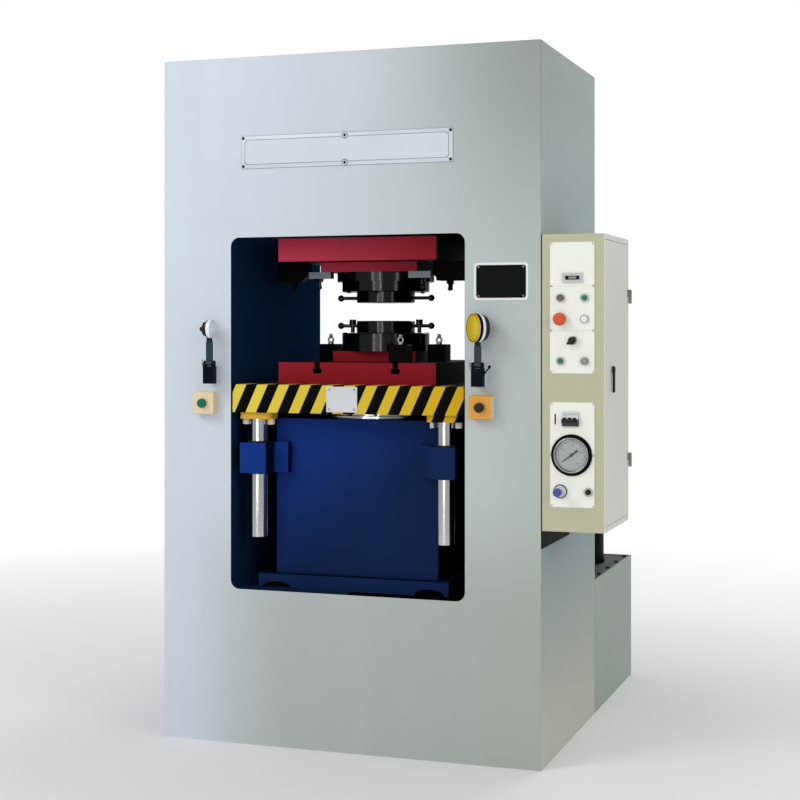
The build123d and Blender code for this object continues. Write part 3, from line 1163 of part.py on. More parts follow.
# Fixed bodies of the 22 mm units: a bezel on the panel and a barrel behind it
with BuildPart() as unit_bodies:
    with BuildSketch(PANEL_PLANE):
        with Locations(UNIT_SPOTS[:-1]):
            Circle(BEZEL_R)
        with Locations(REGULATOR_UNIT):
            Circle(DIAL_R)
    extrude(amount=BEZEL_T)
    with BuildSketch(PANEL_PLANE):
        with Locations(UNIT_SPOTS):
            Circle(UNIT_R)
    extrude(amount=-UNIT_DEPTH)
    with BuildSketch(PANEL_PLANE):
        with Locations(LAMP_UNIT, READY_UNIT):
            Circle(LENS_R)
    extrude(amount=BEZEL_T + LENS_RISE)
    bezel_plane = PANEL_PLANE.offset(BEZEL_T)
    cap_hole = BEZEL_T + CAP_ROOT + CAP_TRAVEL + MOTION_GAP
    with BuildSketch(bezel_plane):
        with Locations(PUMP_UNIT, RISE_UNIT, DUMP_UNIT):
            Circle(CAP_R + RUNNING_FIT)
    extrude(amount=-cap_hole, mode=Mode.SUBTRACT)
    with BuildSketch(bezel_plane):
        with Locations(STOP_UNIT, SELECTOR_UNIT, KEY_UNIT):
            Circle(STEM_R + RUNNING_FIT)
    extrude(amount=-cap_hole, mode=Mode.SUBTRACT)
    with BuildSketch(bezel_plane):
        with Locations(REGULATOR_UNIT):
            Circle(KNOB_STEM_R + RUNNING_FIT)
    extrude(amount=-cap_hole, mode=Mode.SUBTRACT)
unit_bodies.part.label = "unit_bodies"
export_step(unit_bodies.part, "parts/unit_bodies.step")

# Push button caps
for label, spot in (("pump_button", PUMP_UNIT), ("rise_button", RISE_UNIT), ("dump_button", DUMP_UNIT)):
    with BuildPart() as push_cap:
        with BuildSketch(bezel_plane.offset(CAP_RISE)):
            with Locations(spot):
                Circle(CAP_R)
        extrude(amount=-(CAP_RISE + CAP_ROOT))
        chamfer(push_cap.edges().group_by(Axis.Y)[0], 1)
    push_cap.part.label = label
    export_step(push_cap.part, f"parts/{label}.step")

# Emergency stop mushroom
with BuildPart() as emergency_stop:
    with BuildSketch(bezel_plane.offset(MUSHROOM_GAP)):
        with Locations(STOP_UNIT):
            Circle(MUSHROOM_R)
    extrude(amount=MUSHROOM_T)
    fillet(emergency_stop.edges().group_by(Axis.Y)[0], 6)
    with BuildSketch(bezel_plane.offset(MUSHROOM_GAP)):
        with Locations(STOP_UNIT):
            Circle(STEM_R)
    extrude(amount=-(MUSHROOM_GAP + CAP_ROOT))
emergency_stop.part.label = "emergency_stop"
export_step(emergency_stop.part, "parts/emergency_stop.step")

# Selector: a round base with a grip across it
with BuildPart() as mode_selector:
    with BuildSketch(bezel_plane.offset(MOTION_GAP)):
        with Locations(SELECTOR_UNIT):
            Circle(SELECTOR_R)
    extrude(amount=SELECTOR_T)
    with BuildSketch(bezel_plane.offset(MOTION_GAP)):
        with Locations(SELECTOR_UNIT):
            SlotOverall(SELECTOR_GRIP_L, SELECTOR_GRIP_W, rotation=SELECTOR_ANGLE)
    extrude(amount=SELECTOR_T + SELECTOR_GRIP_T)
    with BuildSketch(bezel_plane.offset(MOTION_GAP)):
        with Locations(SELECTOR_UNIT):
            Circle(STEM_R)
    extrude(amount=-(MOTION_GAP + ROTOR_ROOT))
mode_selector.part.label = "mode_selector"
export_step(mode_selector.part, "parts/mode_selector.step")

# Key switch core with its key slot
with BuildPart() as key_switch:
    with BuildSketch(bezel_plane.offset(KEY_RISE)):
        with Locations(KEY_UNIT):
            Circle(STEM_R)
    extrude(amount=-(KEY_RISE + ROTOR_ROOT))
    with BuildSketch(bezel_plane.offset(KEY_RISE)):
        with Locations(KEY_UNIT):
            Rectangle(KEY_SLOT_W, KEY_SLOT_L)
    extrude(amount=-KEY_SLOT_DEPTH, mode=Mode.SUBTRACT)
key_switch.part.label = "key_switch"
export_step(key_switch.part, "parts/key_switch.step")

# Regulator knob on its stem
with BuildPart() as regulator_knob:
    with BuildSketch(bezel_plane.offset(-ROTOR_ROOT)):
        with Locations(REGULATOR_UNIT):
            Circle(KNOB_STEM_R)
    extrude(amount=ROTOR_ROOT + KNOB_STEM_L)
    with BuildSketch(bezel_plane.offset(KNOB_STEM_L)):
        with Locations(REGULATOR_UNIT):
            Circle(KNOB_R)
            with PolarLocations(KNOB_R, 12):
                Circle(1.5, mode=Mode.SUBTRACT)
    extrude(amount=KNOB_T)
    chamfer(regulator_knob.faces().sort_by(Axis.Y)[0].edges(), 1)
regulator_knob.part.label = "regulator_knob"
export_step(regulator_knob.part, "parts/regulator_knob.step")

# Counter: a bezel with a recessed window, and its case behind the panel
with BuildPart() as stroke_counter:
    with BuildSketch(PANEL_PLANE):
        with Locations((COUNTER_X, COUNTER_Z)):
            RectangleRounded(COUNTER_W, COUNTER_H, 2)
    extrude(amount=COUNTER_T)
    with BuildSketch(PANEL_PLANE):
        with Locations((COUNTER_X, COUNTER_Z)):
            Rectangle(COUNTER_CASE_W, COUNTER_CASE_H)
    extrude(amount=-COUNTER_CASE_D)
    with BuildSketch(PANEL_PLANE.offset(COUNTER_T)):
        with Locations((COUNTER_X, COUNTER_Z)):
            Rectangle(COUNTER_CASE_W - 10, COUNTER_CASE_H - 12)
    extrude(amount=-COUNTER_T / 2, mode=Mode.SUBTRACT)
stroke_counter.part.label = "stroke_counter"
export_step(stroke_counter.part, "parts/stroke_counter.step")

# Breaker body with a raised nose and three slots for the toggles
breaker_front = PANEL_FACE - BREAKER_RISE
nose_front = breaker_front - BREAKER_NOSE_RISE
toggle_y = nose_front + TOGGLE_R - 2
toggle_spots = [BREAKER_X + step * TOGGLE_PITCH for step in (-1, 0, 1)]
with BuildPart() as breaker_body:
    with BuildSketch(PANEL_PLANE.offset(BREAKER_RISE)):
        with Locations((BREAKER_X, BREAKER_Z)):
            Rectangle(BREAKER_W, BREAKER_H)
    extrude(amount=-(BREAKER_RISE + BREAKER_DEPTH))
    with BuildSketch(PANEL_PLANE.offset(BREAKER_RISE)):
        with Locations((BREAKER_X, BREAKER_Z)):
            Rectangle(BREAKER_W, BREAKER_NOSE_H)
    extrude(amount=BREAKER_NOSE_RISE)
    for toggle_x in toggle_spots:
        with BuildSketch(Plane.YZ.offset(toggle_x - TOGGLE_W / 2 - TOGGLE_SLOT_GAP)):
            with Locations((toggle_y, BREAKER_Z)):
                Circle(TOGGLE_R + MOTION_GAP)
        extrude(amount=TOGGLE_W + 2 * TOGGLE_SLOT_GAP, mode=Mode.SUBTRACT)
    with BuildSketch(Plane.YZ.offset(BREAKER_X - BREAKER_W / 2)):
        with Locations((toggle_y, BREAKER_Z)):
            Circle(2 + RUNNING_FIT)
    extrude(amount=BREAKER_W, mode=Mode.SUBTRACT)
breaker_body.part.label = "breaker_body"
export_step(breaker_body.part, "parts/breaker_body.step")

# Breaker toggles: three drums on one pin, their levers joined by a bar
with BuildPart() as breaker_toggles:
    for toggle_x in toggle_spots:
        with BuildSketch(Plane.YZ.offset(toggle_x - TOGGLE_W / 2)):
            with Locations((toggle_y, BREAKER_Z)):
                Circle(TOGGLE_R)
        extrude(amount=TOGGLE_W)
    lever_plane = Plane(origin=(BREAKER_X, toggle_y, BREAKER_Z), x_dir=(1, 0, 0),
                        z_dir=(0, -cos(radians(TOGGLE_ANGLE)), -sin(radians(TOGGLE_ANGLE))))
    with BuildSketch(lever_plane):
        with Locations([(step * TOGGLE_PITCH, 0) for step in (-1, 0, 1)]):
            Rectangle(TOGGLE_W, TOGGLE_LEVER_T)
    extrude(amount=TOGGLE_LEVER)
    with BuildSketch(lever_plane.offset(TOGGLE_LEVER - TOGGLE_BAR_T)):
        Rectangle(2 * TOGGLE_PITCH + TOGGLE_W, TOGGLE_LEVER_T)
    extrude(amount=TOGGLE_BAR_T)
    with BuildSketch(Plane.YZ.offset(BREAKER_X - BREAKER_W / 2)):
        with Locations((toggle_y, BREAKER_Z)):
            Circle(2)
    extrude(amount=BREAKER_W)
breaker_toggles.part.label = "breaker_toggles"
export_step(breaker_toggles.part, "parts/breaker_toggles.step")

# Pressure gauge case: flange, bezel, recessed dial and spindle
with BuildPart() as gauge_case:
    with BuildSketch(PANEL_PLANE):
        with Locations((GAUGE_X, GAUGE_Z)):
            Circle(GAUGE_FLANGE_R)
    extrude(amount=GAUGE_FLANGE_T)
    with BuildSketch(PANEL_PLANE):
        with Locations((GAUGE_X, GAUGE_Z)):
            Circle(GAUGE_BEZEL_R)
    extrude(amount=GAUGE_BEZEL_T)
    fillet(gauge_case.edges().group_by(Axis.Y)[0], 3)
    with BuildSketch(PANEL_PLANE):
        with Locations((GAUGE_X, GAUGE_Z)):
            Circle(GAUGE_CASE_R)
    extrude(amount=-GAUGE_CASE_D)
    with BuildSketch(PANEL_PLANE.offset(GAUGE_BEZEL_T)):
        with Locations((GAUGE_X, GAUGE_Z)):
            Circle(GAUGE_DIAL_R)
    extrude(amount=-GAUGE_DIAL_DEPTH, mode=Mode.SUBTRACT)
    dial_plane = PANEL_PLANE.offset(GAUGE_BEZEL_T - GAUGE_DIAL_DEPTH)
    with BuildSketch(dial_plane):
        with Locations((GAUGE_X, GAUGE_Z)):
            Circle(GAUGE_SPINDLE_R)
    extrude(amount=POINTER_LIFT + POINTER_T)
gauge_case.part.label = "gauge_case"
export_step(gauge_case.part, "parts/gauge_case.step")

# Gauge pointer: a tapered needle with a broad tail, at zero
pointer_plane = Plane(origin=(GAUGE_X, PANEL_FACE - GAUGE_BEZEL_T + GAUGE_DIAL_DEPTH - POINTER_LIFT, GAUGE_Z),
                      x_dir=(cos(radians(POINTER_ANGLE)), 0, sin(radians(POINTER_ANGLE))), z_dir=(0, -1, 0))
with BuildPart() as gauge_pointer:
    with BuildSketch(pointer_plane):
        with BuildLine():
            Polyline((POINTER_L, -POINTER_TIP_W / 2), (POINTER_L, POINTER_TIP_W / 2),
                     (-POINTER_TAIL_L, POINTER_TAIL_W / 2), (-POINTER_TAIL_L, -POINTER_TAIL_W / 2), close=True)
        make_face()
        Circle(POINTER_HUB_R)
        Circle(GAUGE_SPINDLE_R + RUNNING_FIT, mode=Mode.SUBTRACT)
    extrude(amount=POINTER_T)
gauge_pointer.part.label = "gauge_pointer"
export_step(gauge_pointer.part, "parts/gauge_pointer.step")

# Mounting plate inside the cabinet, on four stand-offs
plate_x = CABINET_LEFT + CABINET_WALL + MOUNT_FOOT_T
with BuildPart() as mounting_plate:
    with Locations((plate_x, FRONT + CABINET_D / 2, CABINET_Z + CABINET_H / 2)):
        Box(MOUNT_PLATE_T, MOUNT_PLATE_W, MOUNT_PLATE_H, align=(Align.MIN, Align.CENTER, Align.CENTER))
    with BuildSketch(Plane.YZ.offset(plate_x)):
        with Locations((FRONT + CABINET_D / 2, CABINET_Z + CABINET_H / 2)):
            with GridLocations(2 * MOUNT_FOOT_X, 2 * MOUNT_FOOT_Z, 2, 2):
                Circle(MOUNT_FOOT_R)
    extrude(amount=-MOUNT_FOOT_T)
mounting_plate.part.label = "mounting_plate"
export_step(mounting_plate.part, "parts/mounting_plate.step")
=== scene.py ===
"""Looks for an upstroke hydraulic press: finishes for its solids, its small fittings, light and camera."""

import json
import logging
import math
from dataclasses import dataclass
from enum import Enum
from typing import Callable, Iterable, Sequence

import bpy
from mathutils import Matrix, Vector


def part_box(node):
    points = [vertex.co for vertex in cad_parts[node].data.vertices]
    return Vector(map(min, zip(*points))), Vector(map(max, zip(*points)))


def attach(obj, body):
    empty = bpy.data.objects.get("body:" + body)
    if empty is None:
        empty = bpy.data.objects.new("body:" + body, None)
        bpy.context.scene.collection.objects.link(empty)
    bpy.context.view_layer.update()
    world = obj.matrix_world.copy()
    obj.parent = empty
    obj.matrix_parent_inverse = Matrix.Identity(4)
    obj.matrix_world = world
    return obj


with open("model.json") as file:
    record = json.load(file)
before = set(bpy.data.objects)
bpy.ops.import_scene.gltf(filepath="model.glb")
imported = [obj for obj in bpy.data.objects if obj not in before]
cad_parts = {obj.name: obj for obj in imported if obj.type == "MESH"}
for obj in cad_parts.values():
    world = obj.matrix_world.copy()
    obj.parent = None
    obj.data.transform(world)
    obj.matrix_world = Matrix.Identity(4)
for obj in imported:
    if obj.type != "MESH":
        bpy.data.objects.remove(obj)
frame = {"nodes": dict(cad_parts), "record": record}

LOG = logging.getLogger("press")
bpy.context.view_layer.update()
Pair = tuple[float, float]
Triple = tuple[float, float, float]
Point = Sequence[float]
Socket = bpy.types.NodeSocket
FaceTest = Callable[[Vector, Vector], bool]


def tint(red: int, green: int, blue: int) -> Triple:
    """Turns an 8-bit display colour into the linear colour that shaders take.

    Args:
        red: Red, 0 to 255.
        green: Green, 0 to 255.
        blue: Blue, 0 to 255.

    Returns:
        The linear colour.
    """
    levels = [channel / 255 for channel in (red, green, blue)]
    return tuple(c / 12.92 if c <= 0.04045 else ((c + 0.055) / 1.055) ** 2.4 for c in levels)


class Way(Enum):
    """The direction of a round piece's axis."""

    X = (0.0, math.pi / 2, 0.0)
    Y = (math.pi / 2, 0.0, 0.0)
    Z = (0.0, 0.0, 0.0)


# Finishes


def solid(colour: object) -> object:
    """Gives a colour full alpha, and leaves a socket as it is."""
    return colour if isinstance(colour, Socket) else (*colour[:3], 1.0)


class Nodes:
    """Short ways to add and join nodes in one tree."""

    def __init__(self, tree: bpy.types.NodeTree) -> None:
        """Keeps the tree that the nodes go into."""
        self.tree = tree

    def feed(self, node: bpy.types.Node, inputs: dict[str | int, object]) -> None:
        """Links or sets a node's inputs.

        Args:
            node: The node.
            inputs: A socket or a constant for each input, by the input's name or number.
        """
        for key, value in inputs.items():
            if isinstance(value, Socket):
                self.tree.links.new(value, node.inputs[key])
            else:
                node.inputs[key].default_value = value

    def add(self, kind: str, inputs: dict[str | int, object] | None = None, **settings: object) -> bpy.types.Node:
        """Adds a node.

        Args:
            kind: The node's type.
            inputs: What its inputs take.
            settings: Its properties.

        Returns:
            The node.
        """
        node = self.tree.nodes.new(kind)
        for label, value in settings.items():
            setattr(node, label, value)
        self.feed(node, inputs or {})
        return node

    def math(self, operation: str, *values: object) -> Socket:
        """Adds a math node on sockets or numbers and returns its result."""
        return self.add("ShaderNodeMath", dict(enumerate(values)), operation=operation).outputs[0]

    def mix(self, factor: Socket, first: object, second: object) -> Socket:
        """Mixes two colours by a factor and returns the result."""
        inputs = {0: factor, 6: solid(first), 7: solid(second)}
        return self.add("ShaderNodeMix", inputs, data_type="RGBA").outputs[2]

    def scaled(self, colour: object, factor: Socket) -> Socket:
        """Returns a colour times a factor."""
        return self.add("ShaderNodeVectorMath", {0: colour, "Scale": factor}, operation="SCALE").outputs[0]

    def clamp(self, value: Socket) -> Socket:
        """Returns a value held between 0 and 1."""
        return self.add("ShaderNodeClamp", {0: value}).outputs[0]

    def noise(self, scale: float, detail: float = 3.0, stretch: Triple = (1.0, 1.0, 1.0)) -> Socket:
        """Adds noise on object coordinates, stretched along the axes, and returns its value.

        Args:
            scale: The noise's scale.
            detail: Its levels of detail.
            stretch: How close it lies along each axis.

        Returns:
            The noise's value.
        """
        place = self.add("ShaderNodeTexCoord").outputs["Object"]
        mapping = self.add("ShaderNodeMapping", {"Scale": stretch, "Vector": place})
        inputs = {"Scale": scale, "Detail": detail, "Vector": mapping.outputs["Vector"]}
        return self.add("ShaderNodeTexNoise", inputs).outputs[0]

    def ramp(self, value: Socket, start: float, end: float, course: str = "SMOOTHSTEP") -> Socket:
        """Returns a rise from 0 at the start to 1 at the end.

        Args:
            value: The value that is read.
            start: Where the rise starts.
            end: Where it ends.
            course: The rise's interpolation.

        Returns:
            The risen value.
        """
        inputs = {"From Min": start, "From Max": end, "Value": value}
        return self.add("ShaderNodeMapRange", inputs, interpolation_type=course).outputs[0]

    def gradient(self, value: Socket, stops: Sequence[tuple[float, Triple]]) -> Socket:
        """Returns the colour of a ramp with colours at set places from 0 to 1.

        Args:
            value: The value that is read, 0 to 1.
            stops: The place and colour of each stop.

        Returns:
            The colour.
        """
        node = self.add("ShaderNodeValToRGB", {0: value})
        elements = node.color_ramp.elements
        while len(elements) < len(stops):
            elements.new(1.0)
        for element, (spot, colour) in zip(elements, stops):
            element.position = spot
            element.color = solid(colour)
        return node.outputs[0]

    def split(self, vector: Socket) -> tuple[Socket, ...]:
        """Returns the three parts of a vector."""
        return tuple(self.add("ShaderNodeSeparateXYZ", {0: vector}).outputs)

    def facing(self) -> tuple[Socket, ...]:
        """Returns the three parts of the surface's normal."""
        return self.split(self.add("ShaderNodeNewGeometry").outputs["Normal"])

    def place(self) -> tuple[Socket, ...]:
        """Returns the three object coordinates."""
        return self.split(self.add("ShaderNodeTexCoord").outputs["Object"])


def surface_group(name: str, inputs: dict[str, tuple[str, object]]) -> tuple[Nodes, bpy.types.bpy_prop_collection]:
    """Starts a shader node group with the outputs Colour, Roughness and Height.

    Args:
        name: The group's name.
        inputs: Socket type and default value of each input.

    Returns:
        The group's nodes, and the sockets that bring its inputs.
    """
    group = bpy.data.node_groups.new(name, "ShaderNodeTree")
    for label, (kind, value) in inputs.items():
        group.interface.new_socket(name=label, in_out="INPUT", socket_type=kind).default_value = value
    for label, kind in (("Colour", "NodeSocketColor"), ("Roughness", "NodeSocketFloat"), ("Height", "NodeSocketFloat")):
        group.interface.new_socket(name=label, in_out="OUTPUT", socket_type=kind)
    nodes = Nodes(group)
    return nodes, nodes.add("NodeGroupInput").outputs


def coated_group() -> bpy.types.NodeTree:
    """Builds the painted surface: cloudy tone, a rolled texture and dust on what faces up.

    Returns:
        A group from Colour, Tone, Roughness and Dust to Colour, Roughness and Height.
    """
    nodes, given = surface_group("coated_surface", {
        "Colour": ("NodeSocketColor", (0.5, 0.5, 0.5, 1.0)), "Tone": ("NodeSocketFloat", 0.05),
        "Roughness": ("NodeSocketFloat", 0.4), "Dust": ("NodeSocketFloat", 0.1),
    })
    cloud = nodes.math("SUBTRACT", nodes.noise(2.2, 5.0), 0.5)
    streak = nodes.math("SUBTRACT", nodes.noise(9.0, 4.0, (1.0, 1.0, 0.12)), 0.5)
    shift = nodes.math("MULTIPLY", nodes.math("ADD", cloud, streak), given["Tone"])
    clouded = nodes.scaled(given["Colour"], nodes.math("ADD", 1.0, shift))
    upward = nodes.math("MAXIMUM", nodes.facing()[2], 0.0)
    cover = nodes.math("MULTIPLY", nodes.math("MULTIPLY", upward, nodes.noise(14.0, 6.0)), given["Dust"])
    rough = nodes.math("MULTIPLY_ADD", nodes.noise(30.0, 3.0), 0.12, given["Roughness"])
    nodes.add("NodeGroupOutput", {
        "Colour": nodes.mix(cover, clouded, (0.42, 0.40, 0.36)),
        "Roughness": nodes.math("ADD", nodes.math("SUBTRACT", rough, 0.06), cover),
        "Height": nodes.noise(420.0, 2.0),
    })
    return nodes.tree


def worked_group() -> bpy.types.NodeTree:
    """Builds the machined surface: fine lines along one axis with a smeared oil film.

    Returns:
        A group from Colour, Roughness and Lines to Colour, Roughness and Height.
    """
    nodes, given = surface_group("worked_metal", {
        "Colour": ("NodeSocketColor", (0.6, 0.6, 0.6, 1.0)), "Roughness": ("NodeSocketFloat", 0.3),
        "Lines": ("NodeSocketVector", (1.0, 1.0, 1.0)),
    })
    place = nodes.add("ShaderNodeTexCoord").outputs["Object"]
    stretched = nodes.add("ShaderNodeVectorMath", {0: place, 1: given["Lines"]}, operation="MULTIPLY").outputs[0]
    lines = nodes.add("ShaderNodeTexNoise", {"Scale": 30.0, "Detail": 6.0, "Vector": stretched}).outputs[0]
    nodes.add("NodeGroupOutput", {
        "Colour": nodes.scaled(given["Colour"], nodes.math("MULTIPLY_ADD", lines, 0.16, 0.92)),
        "Roughness": nodes.math("MULTIPLY_ADD", nodes.noise(6.0, 4.0), 0.10, given["Roughness"]),
        "Height": lines,
    })
    return nodes.tree


COATED = coated_group()
WORKED = worked_group()


def shader(name: str) -> tuple[bpy.types.Material, Nodes, bpy.types.Node]:
    """Starts a node material.

    Args:
        name: The material's name.

    Returns:
        The material, its nodes and its Principled shader.
    """
    material = bpy.data.materials.new(name)
    material.use_nodes = True
    return material, Nodes(material.node_tree), material.node_tree.nodes["Principled BSDF"]


@dataclass(frozen=True)
class Finish:
    """A finish with one main colour, named as its slot."""

    name: str
    colour: Triple

    def pattern(self, nodes: Nodes) -> object:
        """Returns the surface's colour, or a socket where it changes over the surface."""
        return solid(self.colour)

    def cover(self, group: bpy.types.NodeTree, inputs: dict[str, object], relief: Pair,
              shading: dict[str, object]) -> bpy.types.Material:
        """Makes a material that wears one of the surface groups.

        Args:
            group: The surface group.
            inputs: What the group's inputs take, besides the colour.
            relief: The bump's strength, and its depth in metres.
            shading: More constants for the Principled shader.

        Returns:
            The finished material.
        """
        material, nodes, body = shader(self.name)
        surface = nodes.add("ShaderNodeGroup", inputs | {"Colour": self.pattern(nodes)}, node_tree=group).outputs
        strength, depth = relief
        bump = nodes.add("ShaderNodeBump", {"Strength": strength, "Distance": depth, "Height": surface["Height"]})
        nodes.feed(body, {"Base Color": surface["Colour"], "Roughness": surface["Roughness"],
                          "Normal": bump.outputs[0]} | shading)
        material.diffuse_color = solid(self.colour)
        return material


@dataclass(frozen=True)
class Paint(Finish):
    """A coat of paint or a moulded plastic, plain or glossy."""

    roughness: float = 0.4
    coat: float = 0.0
    specular: float = 0.5
    tone: float = 0.05
    dust: float = 0.06
    grain: float = 0.12

    def build(self) -> bpy.types.Material:
        """Makes the material and returns it."""
        inputs = {"Tone": self.tone, "Roughness": self.roughness, "Dust": self.dust}
        shading = {"Coat Weight": self.coat, "Coat Roughness": 0.12, "Specular IOR Level": self.specular}
        return self.cover(COATED, inputs, (self.grain, 0.0006), shading)


@dataclass(frozen=True)
class FramePaint(Paint):
    """The frame's grey with painted light and shade: lightest at the upper left, painted shade towards the lower right,
    at the upper right and low in the middle, painted light and shade up the side, and navy taken down to near black as
    painted shade on the window's walls.
    """

    # Painted shade: the front grey passes into this towards the lower right.
    shaded_low_right: Triple = tint(176, 184, 176)
    # Painted shade at the upper right of the front.
    corner: Triple = tint(146, 153, 152)
    # Painted shade low in the middle of the front.
    low_middle_shade: Triple = tint(158, 162, 154)
    # Painted light and shade up the side, by height: brightest at the bottom, darkest at the top.
    side: tuple[tuple[float, Triple], ...] = (
        (0.02, tint(198, 196, 186)), (0.14, tint(174, 180, 170)), (0.28, tint(154, 168, 171)),
        (0.76, tint(165, 180, 182)), (0.94, tint(132, 144, 144)),
    )
    side_from: float = 0.6595
    # Navy taken down to near black: painted shade inside the window.
    window: Triple = tint(8, 10, 18)
    half_width: float = 0.4112
    floor: float = 0.5172
    ceiling: float = 1.6968
    half_depth: float = 0.4019
    # Painted light: the front is lightest at the upper left and shades along this slope.
    slope: Triple = (0.62, -0.10, 0.52)
    corner_x: Pair = (0.0, 0.68)
    corner_z: Pair = (1.35, 2.35)
    corner_share: float = 0.9
    low_middle_shade_x: Pair = (-0.62, -0.2)
    low_middle_shade_z: Pair = (0.9, 0.45)
    low_middle_shade_share: float = 0.6
    height: float = 2.3

    def pattern(self, nodes: Nodes) -> Socket:
        """Returns navy taken down to near black as painted shade inside the window's box, and outside it the grey with
        painted light and shade.

        Args:
            nodes: The material's nodes.

        Returns:
            The colour.
        """
        x, y, z = nodes.place()
        inside = nodes.math("LESS_THAN", nodes.math("ABSOLUTE", x), self.half_width)
        deep = nodes.math("LESS_THAN", nodes.math("ABSOLUTE", y), self.half_depth)
        over = nodes.math("GREATER_THAN", z, self.floor)
        under = nodes.math("LESS_THAN", z, self.ceiling)
        mask = nodes.math("MULTIPLY", nodes.math("MULTIPLY", inside, deep), nodes.math("MULTIPLY", over, under))
        across, upward, start = self.slope
        slope = nodes.math("ADD", nodes.math("MULTIPLY", x, across), nodes.math("MULTIPLY", z, upward))
        # Painted light and shade on the front: the drift, then the painted shade at the upper right and low in the
        # middle.
        front = nodes.mix(nodes.clamp(nodes.math("ADD", slope, start)), self.colour, self.shaded_low_right)
        for (x0, x1), (z0, z1), share, colour in ((self.corner_x, self.corner_z, self.corner_share, self.corner),
                                                  (self.low_middle_shade_x, self.low_middle_shade_z, self.low_middle_shade_share, self.low_middle_shade)):
            reach = nodes.math("MULTIPLY", nodes.ramp(x, x0, x1), nodes.ramp(z, z0, z1))
            front = nodes.mix(nodes.math("MULTIPLY", reach, share), front, colour)
        # Painted light and shade up the side.
        side = nodes.gradient(nodes.math("DIVIDE", z, self.height), self.side)
        outside = nodes.mix(nodes.math("GREATER_THAN", x, self.side_from), front, side)
        # Painted shade inside the window.
        return nodes.mix(mask, outside, self.window)


@dataclass(frozen=True)
class BandPaint(Paint):
    """A coat that changes colour at set places along one axis: where two painted parts meet, and on some coats where a
    painted highlight or painted shade begins.
    """

    axis: int = 0
    bands: tuple[tuple[float, Triple], ...] = ()

    def pattern(self, nodes: Nodes) -> Socket:
        """Returns the colour of the last band whose start lies before the surface.

        Args:
            nodes: The material's nodes.

        Returns:
            The colour.
        """
        along = nodes.place()[self.axis]
        shade: object = self.colour
        for start, colour in self.bands:
            shade = nodes.mix(nodes.math("GREATER_THAN", along, start), shade, colour)
        return shade


@dataclass(frozen=True)
class FacePaint(Paint):
    """A coat with painted light and shade: on the front and the rear a painted highlight grows towards the upper left,
    and all other sides are painted shade.
    """

    # Painted highlight: the front and the rear pass into this towards the upper left.
    lit_upper_left: Triple = (0.5, 0.5, 0.5)
    # Painted shade on the faces that look left, right, up or down.
    shaded: Triple = (0.02, 0.02, 0.02)
    middle: float = 1.0
    half_height: float = 0.4

    def pattern(self, nodes: Nodes) -> Socket:
        """Returns the front colour with its painted highlight, or the painted shade where the surface faces another
        way.

        Args:
            nodes: The material's nodes.

        Returns:
            The colour.
        """
        x, _, z = nodes.place()
        rise = nodes.math("DIVIDE", nodes.math("SUBTRACT", z, self.middle), self.half_height)
        lift = nodes.math("SUBTRACT", rise, nodes.math("MULTIPLY", x, 2.6))
        # Painted highlight towards the upper left.
        front = nodes.mix(nodes.ramp(lift, -0.6, 1.8), self.colour, self.lit_upper_left)
        across = nodes.math("ABSOLUTE", nodes.facing()[1])
        # Painted shade on every face but the front and the rear.
        return nodes.mix(nodes.math("GREATER_THAN", across, 0.7), self.shaded, front)


@dataclass(frozen=True)
class StripePaint(Paint):
    """Leaning black and yellow stripes on what faces the front, over a black body."""

    yellow: Triple = tint(222, 202, 76)
    yellow_right: Triple = tint(202, 164, 22)
    pitch: float = 0.0777
    share: float = 0.49
    lean: float = 0.46
    start: float = -0.3145
    top: float = 1.204
    front: float = -0.3
    whole: float = -2.0

    def pattern(self, nodes: Nodes) -> Socket:
        """Returns yellow on the stripes, and everywhere left of the whole limit, and black between them.

        Args:
            nodes: The material's nodes.

        Returns:
            The colour.
        """
        x, y, z = nodes.place()
        drop = nodes.math("MULTIPLY", nodes.math("SUBTRACT", self.top, z), self.lean)
        along = nodes.math("ADD", nodes.math("SUBTRACT", x, self.start), drop)
        phase = nodes.math("FLOORED_MODULO", nodes.math("DIVIDE", along, self.pitch), 1.0)
        stripe = nodes.math("LESS_THAN", phase, self.share)
        facing = nodes.math("LESS_THAN", y, self.front)
        left = nodes.math("LESS_THAN", x, self.whole)
        mask = nodes.math("MULTIPLY", nodes.math("MAXIMUM", stripe, left), facing)
        across = nodes.clamp(nodes.math("ADD", nodes.math("MULTIPLY", x, 1.2), 0.5))
        return nodes.mix(mask, self.colour, nodes.mix(across, self.yellow, self.yellow_right))


@dataclass(frozen=True)
class Metal(Finish):
    """A bare or plated metal with fine lines along one axis."""

    roughness: float = 0.3
    lines: Triple = (1.0, 1.0, 1.0)
    relief: float = 0.1

    def build(self) -> bpy.types.Material:
        """Makes the material and returns it."""
        inputs = {"Roughness": self.roughness, "Lines": self.lines}
        return self.cover(WORKED, inputs, (self.relief, 0.0004), {"Metallic": 1.0})


@dataclass(frozen=True)
class Lens(Finish):
    """A glossy coloured cap, with a faint glow where its lamp is lit."""

    roughness: float = 0.12
    glow: float = 0.0

    def build(self) -> bpy.types.Material:
        """Makes the material.

        Returns:
            The finished material.
        """
        material, nodes, body = shader(self.name)
        fade = nodes.math("MULTIPLY_ADD", nodes.noise(90.0, 2.0), 0.25, 0.85)
        nodes.feed(body, {"Base Color": nodes.scaled(self.colour, fade), "Roughness": self.roughness,
                          "Coat Weight": 0.6, "Emission Color": solid(self.colour), "Emission Strength": self.glow})
        material.diffuse_color = solid(self.colour)
        return material


